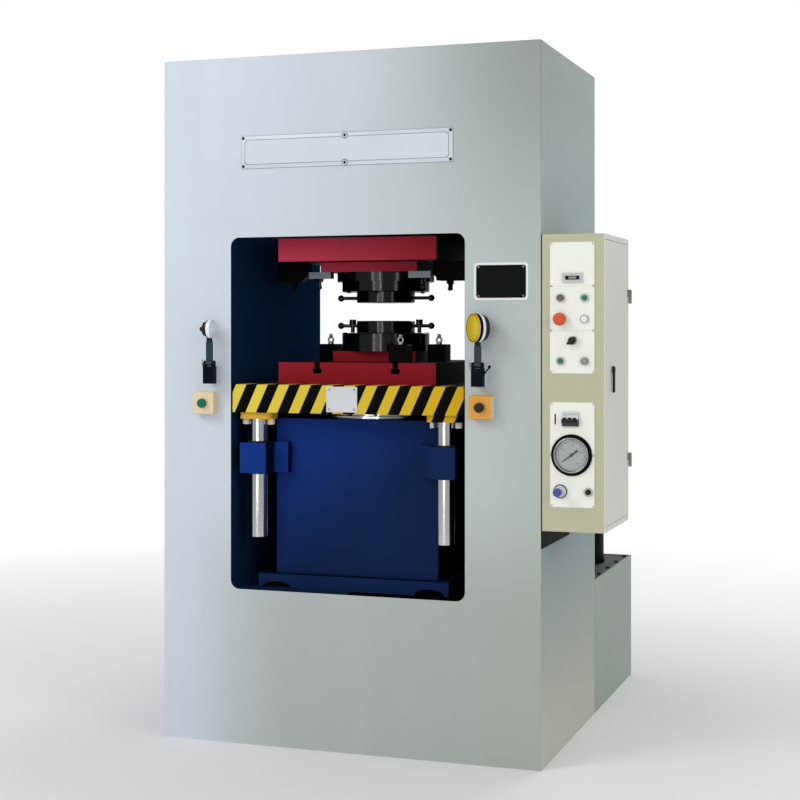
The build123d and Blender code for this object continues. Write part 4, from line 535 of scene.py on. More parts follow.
@dataclass(frozen=True)
class ClearGlass:
    """Thin clear glass that lets shadow light through."""

    name: str

    def build(self) -> bpy.types.Material:
        """Makes the material: mostly clear, with a reflection that grows at a low angle.

        Returns:
            The finished material.
        """
        material, nodes, body = shader(self.name)
        fresnel = nodes.add("ShaderNodeFresnel", {"IOR": 1.35}).outputs[0]
        nodes.feed(body, {"Base Color": (0.95, 0.97, 0.96, 1.0), "Roughness": 0.03,
                          "Alpha": nodes.math("MULTIPLY_ADD", fresnel, 0.8, 0.04)})
        material.diffuse_color = (0.9, 0.95, 0.95, 0.2)
        return material


class Palette:
    """Every finish of the press, built once and found by the name of its slot."""

    def __init__(self) -> None:
        """Builds all finishes."""
        dark = dict(roughness=0.42, specular=0.05, tone=0.03, dust=0.0)
        finishes = [
            # Frame grey, with painted light and shade laid over it by FramePaint.
            FramePaint("frame_grey", tint(206, 215, 225), roughness=0.5, specular=0.12, tone=0.07, dust=0.02),
            Paint("tank_grey", tint(164, 174, 166), roughness=0.5, specular=0.2, tone=0.08),
            Paint("cover_grey", tint(44, 54, 54), roughness=0.45, specular=0.3, dust=0.12),
            Paint("black_paint", tint(8, 8, 10), **dark),
            Metal("pump_alloy", (0.55, 0.56, 0.57), 0.42),
            Metal("block_steel", (0.42, 0.43, 0.44), 0.34, (1.0, 1.0, 8.0)),
            Metal("pipe_steel", (0.55, 0.56, 0.57), 0.26, (1.0, 0.1, 1.0)),
            # Blue body: painted highlight at the upper left of its front, painted shade on its sides.
            FacePaint("cylinder_blue", tint(16, 35, 76), roughness=0.5, specular=0.04, tone=0.22, dust=0.0, grain=0.3,
                      lit_upper_left=tint(17, 52, 130), shaded=tint(6, 15, 38), middle=0.85, half_height=0.30),
            Metal("chrome", (0.68, 0.70, 0.68), 0.10, (1.0, 1.0, 0.06), 0.03),
            Metal("bronze", (0.62, 0.42, 0.18), 0.3, (1.0, 1.0, 6.0)),
            StripePaint("table_paint", tint(3, 3, 4), roughness=0.5, specular=0.05, tone=0.10, dust=0.0),
            StripePaint("flange_yellow", tint(3, 3, 4), roughness=0.5, specular=0.05, tone=0.10, whole=-0.2,
                        yellow=tint(208, 160, 60), yellow_right=tint(196, 158, 24)),
            Metal("bolt_steel", (0.42, 0.42, 0.43), 0.34),
            # Red dies and bolsters: painted highlight at the upper left of their fronts, painted shade on their sides.
            FacePaint("die_red", tint(136, 24, 35), roughness=0.5, specular=0.05, tone=0.16, dust=0.0, grain=0.3,
                      lit_upper_left=tint(188, 60, 82), shaded=tint(20, 5, 8), middle=1.45, half_height=0.25),
            Paint("black_steel", tint(3, 3, 4), roughness=0.13, specular=0.5, tone=0.03, dust=0.0, grain=0.04),
            Metal("strap_steel", (0.20, 0.23, 0.26), 0.45, (0.2, 1.0, 1.0)),
            # Left box peach, right box orange, with a painted highlight: the pale band on the right box's right side.
            BandPaint("box_orange", tint(228, 208, 174), roughness=0.4, tone=0.04, dust=0.0,
                      bands=((0.0, tint(218, 152, 42)), (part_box("button_boxes")[1][0] - 0.0008, tint(224, 214, 196)))),
            Paint("green_plastic", tint(14, 106, 86), roughness=0.25, coat=0.2, specular=0.3, dust=0.0),
            Paint("black_plastic", tint(12, 12, 14), roughness=0.35, specular=0.3, tone=0.02, grain=0.3),
            Paint("lamp_teal", tint(22, 52, 68), roughness=0.4, specular=0.3),
            Paint("lamp_grey", tint(34, 42, 48), roughness=0.4, specular=0.3),
            # The back plate's olive, taken down to near black as painted shade under the cabinet.
            Paint("back_olive", tint(8, 14, 6), roughness=0.5, specular=0.03, dust=0.0),
            BandPaint("cabinet_beige", tint(184, 184, 154), roughness=0.45, tone=0.06, grain=0.3,
                      bands=((0.8605, tint(228, 230, 222)), (0.8624, tint(140, 143, 138)))),
            BandPaint("cabinet_side", tint(228, 230, 222), roughness=0.45, tone=0.05, grain=0.3,
                      bands=((0.8624, tint(140, 143, 138)),)),
            Paint("panel_white", tint(237, 240, 230), roughness=0.35, specular=0.3, tone=0.02, dust=0.0),
            Metal("bezel_metal", (0.34, 0.35, 0.34), 0.25),
            Paint("red_plastic", tint(208, 80, 36), roughness=0.35, specular=0.3, dust=0.0),
            Paint("blue_plastic", tint(40, 48, 150), roughness=0.3, coat=0.3, dust=0.0),
            Metal("plate_zinc", (0.60, 0.62, 0.60), 0.38),
            Paint("plate_silver", tint(204, 212, 219), roughness=0.34, tone=0.08),
            Paint("plate_edge", tint(140, 147, 154), roughness=0.3),
            Paint("rating_black", tint(8, 14, 12), roughness=0.45, specular=0.06, tone=0.02, dust=0.0),
            Paint("paper_white", tint(206, 208, 211), roughness=0.5, specular=0.3, tone=0.02, dust=0.0),
            Paint("dial_grey", tint(184, 190, 186), roughness=0.4, tone=0.03, dust=0.0),
            Paint("ink_black", tint(8, 8, 9), roughness=0.5, specular=0.2, dust=0.0),
            Paint("rubber_black", tint(24, 24, 25), roughness=0.7, dust=0.02),
            Paint("copper_wire", tint(150, 60, 40), roughness=0.4, dust=0.0),
            Paint("blue_wire", tint(40, 70, 150), roughness=0.4, dust=0.0),
            Paint("duct_grey", tint(150, 154, 158), roughness=0.5, dust=0.1),
            Paint("case_cream", tint(206, 204, 190), roughness=0.45, dust=0.05),
            Paint("flange_white", tint(225, 225, 222), roughness=0.4, dust=0.0),
            BandPaint("breaker_grey", tint(24, 24, 26), roughness=0.4, dust=0.0, axis=2,
                      bands=((1.1085, tint(206, 212, 212)),)),
            Lens("amber_lens", tint(74, 58, 40)),
            Lens("yellow_lens", tint(214, 186, 44), glow=0.05),
            # Also worn by the right lamp's painted highlight band, where its glow is painted light.
            Lens("white_lens", tint(232, 232, 240), glow=0.05),
            Lens("grey_lens", tint(120, 134, 124)),
            Lens("oil_lens", tint(196, 150, 40)),
            ClearGlass("clear_glass"),
            # Navy coat of the window's walls; its right half is painted near black as painted shade.
            BandPaint("window_navy", tint(18, 40, 68), roughness=0.7, specular=0.0, tone=0.2, dust=0.0,
                      bands=((0.0, tint(6, 6, 9)),)),
            Paint("matt_black", tint(3, 3, 4), roughness=0.55, specular=0.04, tone=0.03, dust=0.0),
            BandPaint("base_black", tint(5, 8, 22), roughness=0.45, specular=0.06, dust=0.0, axis=1,
                      bands=((-0.4380, tint(196, 203, 208)),)),
            Metal("ring_steel", (0.30, 0.31, 0.31), 0.22),
            Paint("rating_border", tint(222, 230, 226), roughness=0.4, dust=0.0),
        ]
        self.materials: dict[str, bpy.types.Material] = {f.name: f.build() for f in finishes}

    def __getitem__(self, name: str) -> bpy.types.Material:
        """Returns the finish of that name."""
        return self.materials[name]

    def dress_nodes(self, overrides: dict[str, str]) -> None:
        """Gives every solid of the frame the finish of its slot.

        Args:
            overrides: Solids that take another finish than their slot's.
        """
        slots = {row["node"]: row["material_slot"] for row in frame["record"]["subparts"]}
        for label, node in frame["nodes"].items():
            node.data.materials.clear()
            node.data.materials.append(self[overrides.get(label, slots[label])])
            LOG.info("solid %s wears %s", label, node.data.materials[0].name)


# Modelling


def deselect() -> None:
    """Leaves edit mode and selects nothing."""
    if bpy.context.mode != "OBJECT":
        bpy.ops.object.mode_set(mode="OBJECT")
    bpy.ops.object.select_all(action="DESELECT")


def spin(angle: float, axis: Way, pivot: Point) -> Matrix:
    """Returns a turn by degrees about an axis through a point."""
    turn = Matrix.Rotation(math.radians(angle), 4, axis.name)
    return Matrix.Translation(pivot) @ turn @ Matrix.Translation(-Vector(pivot))


class Piece:
    """One piece under work: a primitive, shaped in edit mode and finished on its body."""

    def __init__(self, name: str, sharp: float = 30.0) -> None:
        """Takes over the primitive that was just added, with its place in its mesh.

        Args:
            name: The piece's name.
            sharp: The angle over which edges stay sharp, in degrees.
        """
        self.obj = bpy.context.object
        self.obj.name = name
        self.obj.data.name = name
        self.sharp = sharp
        bpy.ops.object.transform_apply(location=True, rotation=True, scale=True)

    @classmethod
    def block(cls, name: str, low: Point, high: Point) -> "Piece":
        """Starts from a block between two corners.

        Args:
            name: The piece's name.
            low: The low corner.
            high: The high corner.

        Returns:
            The piece.
        """
        deselect()
        low_corner, high_corner = Vector(low), Vector(high)
        bpy.ops.mesh.primitive_cube_add(size=1, location=(low_corner + high_corner) / 2)
        bpy.context.object.scale = high_corner - low_corner
        return cls(name)

    @classmethod
    def disc(cls, name: str, centre: Point, way: Way, radius: float, length: float,
             sides: int = 48) -> "Piece":
        """Starts from a round bar about a centre.

        Args:
            name: The piece's name.
            centre: The middle of the bar.
            way: The axis.
            radius: The radius.
            length: The length.
            sides: How many sides it has.

        Returns:
            The piece.
        """
        deselect()
        bpy.ops.mesh.primitive_cylinder_add(vertices=sides, radius=radius, depth=length, location=centre,
                                            rotation=way.value)
        return cls(name)

    @classmethod
    def ball(cls, name: str, centre: Point, radius: float) -> "Piece":
        """Starts from a ball about a centre."""
        deselect()
        bpy.ops.mesh.primitive_uv_sphere_add(segments=32, ring_count=16, radius=radius, location=centre)
        return cls(name, 60.0)

    @classmethod
    def hoop(cls, name: str, centre: Point, way: Way, radius: float, wire: float) -> "Piece":
        """Starts from a round wire hoop about a centre.

        Args:
            name: The piece's name.
            centre: The middle of the hoop.
            way: The axis.
            radius: The hoop's radius.
            wire: The wire's radius.

        Returns:
            The piece.
        """
        deselect()
        bpy.ops.mesh.primitive_torus_add(location=centre, rotation=way.value, major_radius=radius,
                                         minor_radius=wire, major_segments=48, minor_segments=12)
        return cls(name, 60.0)

    @classmethod
    def pipe(cls, name: str, points: Sequence[Point], radius: float) -> "Piece":
        """Starts from a round line that runs smoothly through some points.

        Args:
            name: The piece's name.
            points: The points of the line.
            radius: The line's radius.

        Returns:
            The piece.
        """
        deselect()
        bpy.ops.curve.primitive_bezier_curve_add(location=(0, 0, 0))
        curve = bpy.context.object
        spline = curve.data.splines[0]
        spline.bezier_points.add(len(points) - len(spline.bezier_points))
        for knot, point in zip(spline.bezier_points, points):
            knot.co = point
            knot.handle_left_type = knot.handle_right_type = "AUTO"
        curve.data.bevel_depth = radius
        curve.data.bevel_resolution = 4
        curve.data.use_fill_caps = True
        curve.data.resolution_u = 8
        bpy.ops.object.convert(target="MESH")
        return cls(name, 60.0)

    @classmethod
    def words(cls, name: str, text: str, centre: Point, height: float, depth: float) -> "Piece":
        """Starts from thin figures that face the front.

        Args:
            name: The piece's name.
            text: The figures.
            centre: The middle of the text.
            height: The text's height.
            depth: Its depth.

        Returns:
            The piece.
        """
        deselect()
        bpy.ops.object.text_add(location=centre, rotation=(math.pi / 2, 0, 0))
        face = bpy.context.object
        face.data.body = text
        face.data.size = height
        face.data.extrude = depth / 2
        face.data.align_x, face.data.align_y = "CENTER", "CENTER"
        bpy.ops.object.convert(target="MESH")
        return cls(name)

    def activate(self) -> None:
        """Selects this piece alone."""
        deselect()
        self.obj.select_set(True)
        bpy.context.view_layer.objects.active = self.obj

    def pick(self, test: FaceTest) -> None:
        """Enters edit mode with those faces selected whose centre and normal pass the test.

        Args:
            test: Takes a face's centre and normal, and says whether the face is picked.
        """
        self.activate()
        mesh = self.obj.data
        for element in (*mesh.vertices, *mesh.edges):
            element.select = False
        for face in mesh.polygons:
            face.select = bool(test(face.center, face.normal))
        bpy.context.tool_settings.mesh_select_mode = (False, False, True)
        bpy.ops.object.mode_set(mode="EDIT")

    def inset(self, test: FaceTest, width: float, rise: float = 0.0) -> "Piece":
        """Insets the picked faces, and raises or sinks what is inside.

        Args:
            test: Picks the faces.
            width: The width of the border.
            rise: How far the inside rises.

        Returns:
            The piece.
        """
        self.pick(test)
        bpy.ops.mesh.inset(thickness=width, depth=0)
        if rise:
            bpy.ops.mesh.extrude_region_shrink_fatten(TRANSFORM_OT_shrink_fatten={"value": rise})
        deselect()
        return self

    def resize(self, test: FaceTest, factor: Triple, pivot: Point) -> "Piece":
        """Scales the picked faces about a point.

        Args:
            test: Picks the faces.
            factor: The factor along each axis.
            pivot: The point.

        Returns:
            The piece.
        """
        self.pick(test)
        bpy.ops.transform.resize(value=factor, center_override=tuple(pivot))
        deselect()
        return self

    def modify(self, kind: str, **settings: object) -> "Piece":
        """Adds a modifier, sets it and applies it.

        Args:
            kind: The modifier's type.
            settings: Its properties.

        Returns:
            The piece.
        """
        self.activate()
        modifier = self.obj.modifiers.new(kind.lower(), kind)
        for label, value in settings.items():
            setattr(modifier, label, value)
        bpy.ops.object.modifier_apply(modifier=modifier.name)
        return self

    def bevel(self, width: float, segments: int = 2) -> "Piece":
        """Rounds all sharp edges."""
        return self.modify("BEVEL", width=width, segments=segments, limit_method="ANGLE",
                           angle_limit=math.radians(self.sharp))

    def cut_away(self, test: FaceTest) -> "Piece":
        """Deletes the picked faces.

        Args:
            test: Picks the faces.

        Returns:
            The piece.
        """
        self.pick(test)
        bpy.ops.mesh.delete(type="FACE")
        deselect()
        return self

    def round_along(self, axis: Way, radius: float, segments: int = 6) -> "Piece":
        """Rounds the edges that run along an axis.

        Args:
            axis: The axis.
            radius: The radius of the rounding.
            segments: The steps in it.

        Returns:
            The piece.
        """
        self.activate()
        bpy.context.tool_settings.mesh_select_mode = (False, True, False)
        mesh = self.obj.data
        for element in (*mesh.vertices, *mesh.polygons):
            element.select = False
        for edge in mesh.edges:
            first, second = (mesh.vertices[index].co for index in edge.vertices)
            edge.select = abs((second - first).normalized()["XYZ".index(axis.name)]) > 0.99
        bpy.ops.object.mode_set(mode="EDIT")
        bpy.ops.mesh.bevel(offset=radius, segments=segments, profile=0.5)
        deselect()
        return self

    def turn(self, angle: float, axis: Way, pivot: Point) -> "Piece":
        """Turns the mesh about an axis through a point, in degrees."""
        self.obj.data.transform(spin(angle, axis, pivot))
        return self

    def copies(self, moves: Iterable[Matrix]) -> "Piece":
        """Adds a copy moved by each matrix and joins them all into this piece.

        Args:
            moves: A matrix for each copy.

        Returns:
            The piece.
        """
        twins = []
        for move in moves:
            twin = self.obj.copy()
            twin.data = self.obj.data.copy()
            twin.data.transform(move)
            bpy.context.collection.objects.link(twin)
            twins.append(twin)
        return self.unite(twins)

    def repeat(self, spots: Sequence[Point]) -> "Piece":
        """Adds a copy at every spot after the first, which is the piece's own."""
        return self.copies([Matrix.Translation(Vector(spot) - Vector(spots[0])) for spot in spots[1:]])

    def row(self, extra: int, pitch: float) -> "Piece":
        """Adds that many copies in a row along Y."""
        return self.copies([Matrix.Translation((0.0, pitch * k, 0.0)) for k in range(1, extra + 1)])

    def around(self, count: int, pivot: Point) -> "Piece":
        """Adds copies up to a full circle of them about an upright axis."""
        return self.copies([spin(360 / count * k, Way.Z, pivot) for k in range(1, count)])

    def unite(self, others: Iterable["bpy.types.Object | Piece"]) -> "Piece":
        """Joins other pieces into this one.

        Args:
            others: The other pieces.

        Returns:
            The piece.
        """
        self.activate()
        for other in others:
            (other.obj if isinstance(other, Piece) else other).select_set(True)
        bpy.ops.object.join()
        return self

    def place(self, body: str, finish: bpy.types.Material) -> None:
        """Gives the piece its finish and puts it on its body.

        Args:
            body: The body that carries the piece.
            finish: The piece's material.
        """
        self.activate()
        bpy.ops.object.shade_smooth_by_angle(angle=math.radians(self.sharp))
        self.obj.data.materials.append(finish)
        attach(self.obj, body)
        LOG.info("piece %s on %s, %d faces", self.obj.name, body, len(self.obj.data.polygons))


def facing(direction: Point, least: float = 0.9) -> FaceTest:
    """Returns a test for faces that look along a direction."""
    aim = Vector(direction).normalized()
    return lambda centre, normal: normal.dot(aim) > least


FRONT, BACK = facing((0, -1, 0)), facing((0, 1, 0))
LEFT, RIGHT = facing((-1, 0, 0)), facing((1, 0, 0))
UP, DOWN = facing((0, 0, 1)), facing((0, 0, -1))


def recessed_screws(name: str, spots: Sequence[Point], radius: float, rise: float) -> Piece:
    """Models round screw heads with a shallow recess, which face the front.

    Args:
        name: The piece's name.
        spots: The centre of each head's seat.
        radius: The head's radius.
        rise: The head's height.

    Returns:
        All the screws as one piece.
    """
    x, y, z = spots[0]
    head = Piece.disc(name, (x, y - rise / 2, z), Way.Y, radius, rise, 24)
    head.resize(FRONT, (0.8, 1.0, 0.8), (x, y - rise, z)).inset(FRONT, radius * 0.16, -rise * 0.25).bevel(rise * 0.12)
    return head.repeat(spots)


def socket_screws(name: str, spots: Sequence[Point], up: int, radius: float, rise: float) -> Piece:
    """Models cap screws with a round socket, which stand along Z.

    Args:
        name: The piece's name.
        spots: The centre of each head's seat.
        up: 1 for heads that stand up, -1 for heads that hang down.
        radius: The head's radius.
        rise: The head's height.

    Returns:
        All the screws as one piece.
    """
    x, y, z = spots[0]
    head = Piece.disc(name, (x, y, z + up * rise / 2), Way.Z, radius, rise, 24)
    return head.inset(facing((0, 0, up)), radius * 0.42, -rise * 0.5).bevel(rise * 0.08).repeat(spots)


def hex_bolts(name: str, spots: Sequence[Point], up: int, radius: float, rise: float) -> Piece:
    """Models hexagon bolt heads on washers, which stand along Z.

    Args:
        name: The piece's name.
        spots: The centre of each washer's seat.
        up: 1 for heads that stand up, -1 for heads that hang down.
        radius: The head's corner radius.
        rise: The head's height.

    Returns:
        All the bolts as one piece.
    """
    x, y, z = spots[0]
    head = Piece.disc(name, (x, y, z + up * (rise / 2 + rise * 0.2)), Way.Z, radius, rise, 6)
    head.inset(facing((0, 0, up)), radius * 0.18, rise * 0.06).bevel(rise * 0.06)
    washer = Piece.disc(name + "_washer", (x, y, z + up * rise * 0.1), Way.Z, radius * 1.35, rise * 0.2, 24)
    washer.bevel(rise * 0.04, 1)
    head.unite([washer])
    return head.repeat(spots)


# Sub-assemblies


@dataclass
class Fittings:
    """What every sub-assembly has: the finishes, and a way to put a piece on its body."""

    palette: Palette

    def put(self, piece: Piece, finish: str, body: str = "frame") -> None:
        """Gives a piece its finish and puts it on its body."""
        piece.place(body, self.palette[finish])


@dataclass
class FramePlates(Fittings):
    """The bare plates on the frame's front and the navy coat in its window, painted near black as shade on its right
    half.
    """

    front: float = -0.4025
    name_half: float = 0.370
    name_low: float = 1.926
    name_high: float = 2.034
    window: tuple[float, float, float, float] = (0.410, 0.518, 1.696, 0.4024)
    rating_x: Pair = (0.440, 0.619)
    rating_z: Pair = (1.480, 1.600)
    coat: float = 0.0006
    coat_corner: float = 0.030

    def nameplate(self) -> None:
        """Builds the long plate on the crown: a raised field inside a rim, six screws, no words."""
        y, half, low, high = self.front, self.name_half, self.name_low, self.name_high
        backing = Piece.block("nameplate_edge", (-half - 0.0015, y - 0.0012, low - 0.0015),
                              (half + 0.0015, y, high + 0.0015))
        self.put(backing.bevel(0.0005, 1), "plate_edge")
        plate = Piece.block("nameplate", (-half, y - 0.0026, low), (half, y - 0.001, high))
        self.put(plate.bevel(0.0006), "plate_silver")
        middle = [(0.0, low + 0.009), (0.0, high - 0.009)]
        for name, step, margin, boss, finish in (("nameplate_line", 0.0030, 0.012, 0.0115, "plate_edge"),
                                                 ("nameplate_field", 0.0034, 0.0145, 0.0090, "plate_silver")):
            field = Piece.block(name, (-half + margin, y - step, low + margin),
                                (half - margin, y - 0.0015, high - margin))
            self.put(field.round_along(Way.Y, 0.012).bevel(0.0002, 1), finish)
            pads = [Piece.disc(f"{name}_pad", (x, y - step / 2 - 0.0009, z), Way.Y, boss, step - 0.0010, 48)
                    for x, z in middle]
            self.put(pads[0].unite(pads[1:]).bevel(0.0002, 1), finish)
        reach = half - 0.007
        spots = [(x, y - 0.0022, z) for x in (-reach, reach) for z in (low + 0.007, high - 0.007)]
        spots += [(x, y - 0.0030, z) for x, z in middle]
        self.put(recessed_screws("nameplate_screws", spots, 0.0052, 0.0026), "ink_black")

    def rating(self) -> None:
        """Builds the bare black plate beside the window: a pale rounded border, four screws, no words."""
        (x0, x1), (z0, z1), y = self.rating_x, self.rating_z, self.front
        backing = Piece.block("rating_border", (x0, y - 0.002, z0), (x1, y, z1))
        self.put(backing.round_along(Way.Y, 0.011).bevel(0.0006, 1), "rating_border")
        field = Piece.block("rating_field", (x0 + 0.008, y - 0.003, z0 + 0.008), (x1 - 0.008, y - 0.001, z1 - 0.008))
        self.put(field.round_along(Way.Y, 0.008).inset(FRONT, 0.004, -0.0005).bevel(0.0004, 1), "rating_black")
        spots = [(x, y - 0.0025, z) for x in (x0 + 0.016, x1 - 0.016) for z in (z0 + 0.014, z1 - 0.014)]
        self.put(recessed_screws("rating_screws", spots, 0.0032, 0.0020), "bezel_metal")

    def liner(self) -> None:
        """Builds the navy coat inside the window, painted near black as shade on its right half: an open sleeve on its
        four walls.
        """
        half, low, high, deep = self.window
        sleeve = Piece.block("window_coat", (-half, -deep, low), (half, deep, high))
        sleeve.round_along(Way.Y, self.coat_corner, 10)
        sleeve.cut_away(lambda c, n: abs(n.y) > 0.9).modify("SOLIDIFY", thickness=self.coat, offset=-1.0)
        self.put(sleeve, "window_navy")

    def build(self) -> None:
        """Builds both plates and the window's coat."""
        self.nameplate()
        self.rating()
        self.liner()


@dataclass
class TableNotice(Fittings):
    """The bare white plate on the table's front."""

    x: Pair = (-0.066, 0.042)
    z: Pair = (1.116, 1.200)
    front: float = -0.400

    def build(self) -> None:
        """Builds the plate and its four rivets."""
        (x0, x1), (z0, z1), y = self.x, self.z, self.front
        plate = Piece.block("table_notice", (x0, y - 0.002, z0), (x1, y, z1))
        self.put(plate.inset(FRONT, 0.003, -0.0004).bevel(0.0008), "paper_white", "table")
        spots = [(x, y - 0.0018, z) for x in (x0 + 0.010, x1 - 0.010) for z in (z0 + 0.010, z1 - 0.010)]
        self.put(recessed_screws("notice_rivets", spots, 0.0035, 0.002), "bezel_metal", "table")


@dataclass
class Gauge(Fittings):
    """The pressure gauge's dial, ring and glass."""

    centre: Pair = (0.758, 0.9955)
    dial_y: float = -0.4075
    ring_y: float = -0.4175
    radius: float = 0.0495
    zero: float = 216.9
    sweep: float = 270.0
    steps: int = 8
    scale_rim: float = 0.044
    long_mark: Pair = (0.0375, 0.0005)
    short_mark: Pair = (0.0405, 0.00025)
    figure_circle: float = 0.0315
    figure_height: float = 0.0078
    scale_lift: float = 0.0011
    ring_radius: float = 0.0530
    ring_wire: float = 0.0032
    glass_radius: float = 0.0499

    def point(self, angle: float, radius: float, y: float) -> Triple:
        """Returns a point on the dial at an angle in degrees."""
        turn = math.radians(angle)
        return (self.centre[0] + radius * math.cos(turn), y, self.centre[1] + radius * math.sin(turn))

    def face(self) -> None:
        """Builds the dial plate with its step at the rim."""
        x, z = self.centre
        dial = Piece.disc("gauge_dial", (x, self.dial_y - 0.0004, z), Way.Y, self.radius, 0.0008, 96)
        self.put(dial.inset(FRONT, 0.003, 0.0002), "dial_grey")

    def ticks(self) -> None:
        """Builds the scale: long and short marks along an arc, and plain numbers."""
        marks = []
        fine = self.steps * 5
        for index in range(fine + 1):
            inner, half = self.short_mark if index % 5 else self.long_mark
            reach = (self.scale_rim - inner) / 2
            x, y, z = self.point(0.0, inner + reach, self.dial_y - self.scale_lift)
            mark = Piece.block(f"tick_{index}", (x - reach, y - 0.0001, z - half), (x + reach, y + 0.0001, z + half))
            marks.append(mark.turn(self.sweep * index / fine - self.zero, Way.Y, (self.centre[0], 0.0, self.centre[1])))
        scale = marks[0].unite(marks[1:])
        scale.obj.name = "gauge_scale"
        numbers = []
        for index in range(0, self.steps + 1, 2):
            angle = self.zero - self.sweep * index / self.steps
            spot = self.point(angle, self.figure_circle, self.dial_y - self.scale_lift)
            numbers.append(Piece.words(f"figure_{index}", str(5 * index), spot, self.figure_height, 0.0002))
        scale.unite(numbers)
        self.put(scale, "ink_black")

    def ring(self) -> None:
        """Builds the dark steel ring and the glass inside it."""
        x, z = self.centre
        ring = Piece.hoop("gauge_ring", (x, self.ring_y, z), Way.Y, self.ring_radius, self.ring_wire)
        ring.resize(lambda c, n: True, (1.0, 0.7, 1.0), (x, self.ring_y, z))
        self.put(ring, "ring_steel")
        glass = Piece.disc("gauge_glass", (x, self.ring_y + 0.0025, z), Way.Y, self.glass_radius, 0.0015, 96)
        self.put(glass.inset(FRONT, 0.002, 0.0003), "clear_glass")

    def needle(self) -> None:
        """Builds the broad tail of the pointer, over its hub."""
        (x, z), low = self.centre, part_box("gauge_pointer")[0]
        tail = Piece.block("pointer_tail", (x - 0.026, low.y - 0.0008, z - 0.0026), (x + 0.012, low.y, z + 0.0026))
        tail.resize(RIGHT, (1.0, 1.0, 0.45), (x, low.y, z)).bevel(0.0003, 1)
        self.put(tail.turn(-self.zero, Way.Y, (x, low.y, z)), "ink_black", "gauge_pointer_body")

    def build(self) -> None:
        """Builds the whole gauge."""
        self.needle()
        self.face()
        self.ticks()
        self.ring()


@dataclass
class PanelUnits(Fittings):
    """The small parts of the cabinet's front: lenses, display, dial ring and screws."""

    face: float = -0.4055
    lamp: Pair = (0.723, 1.486)
    ready: Pair = (0.799, 1.289)
    regulator: Pair = (0.7225, 0.8815)
    counter: Pair = (0.761, 1.549)
    gauge_screws: tuple[Pair, ...] = ((0.6925, 0.9955), (0.8265, 0.9955))
    breaker: Pair = (0.7545, 1.108)

    def lens(self, name: str, spot: Pair, finish: str) -> None:
        """Builds a domed lens over one signal lamp.

        Args:
            name: The lens's name.
            spot: The lamp's X and Z.
            finish: The lens's finish.
        """
        x, z = spot
        top = self.face - 0.0105
        lens = Piece.disc(name, (x, top + 0.003, z), Way.Y, 0.0104, 0.009, 48)
        self.put(lens.inset(FRONT, 0.0035, 0.0012).bevel(0.0014, 3), finish)

    def display(self) -> None:
        """Builds the counter's pale field and its dark window with plain figures."""
        x, z = self.counter
        y = self.face - 0.0026
        window = Piece.block("counter_window", (x - 0.0225, y - 0.0006, z - 0.006), (x + 0.0225, y + 0.0004, z + 0.006))
        self.put(window.inset(FRONT, 0.001, -0.0002), "ink_black")
        field = Piece.block("counter_field", (x - 0.027, y - 0.0002, z - 0.011), (x + 0.027, y + 0.0012, z + 0.011))
        self.put(field.inset(FRONT, 0.0008, -0.0002), "paper_white")
        figures = Piece.words("counter_figures", "00000", (x, y - 0.0007, z), 0.0098, 0.0002)
        self.put(figures, "paper_white")

    def dial(self) -> None:
        """Builds the regulator's white scale ring."""
        x, z = self.regulator
        ring = Piece.disc("regulator_scale", (x, self.face - 0.0040, z), Way.Y, 0.0195, 0.0012, 48)
        self.put(ring.inset(FRONT, 0.0045, -0.0004).bevel(0.0003, 1), "paper_white")
        rim = Piece.hoop("regulator_rim", (x, self.face - 0.0030, z), Way.Y, 0.0198, 0.0020)
        self.put(rim, "ink_black")

    def breaker_window(self) -> None:
        """Builds the strip over the breaker's toggles."""
        x, z = self.breaker
        strip = Piece.block("breaker_strip", (x - 0.023, self.face - 0.0088, z + 0.0145),
                            (x + 0.023, self.face - 0.0078, z + 0.0185))
        self.put(strip.inset(FRONT, 0.0008, -0.0002), "bezel_metal")

    def build(self) -> None:
        """Builds all of the panel's small parts."""
        self.lens("amber_lens", self.lamp, "amber_lens")
        self.lens("ready_lens", self.ready, "grey_lens")
        self.display()
        self.dial()
        self.breaker_window()
        spots = [(x, self.face, z) for x, z in self.gauge_screws]
        self.put(recessed_screws("panel_screws", spots, 0.0032, 0.002), "bezel_metal")
        corners = []
        for label, seams in (("upper_panel", (0.134, 0.273)), ("lower_panel", ())):
            low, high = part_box(label)
            rows = [low.z + 0.006, high.z - 0.006, *(low.z + seam for seam in seams)]
            corners += [(x, self.face, z) for x in (low.x + 0.0055, high.x - 0.0055) for z in rows]
        self.put(recessed_screws("corner_screws", corners, 0.0026, 0.0014), "bezel_metal")


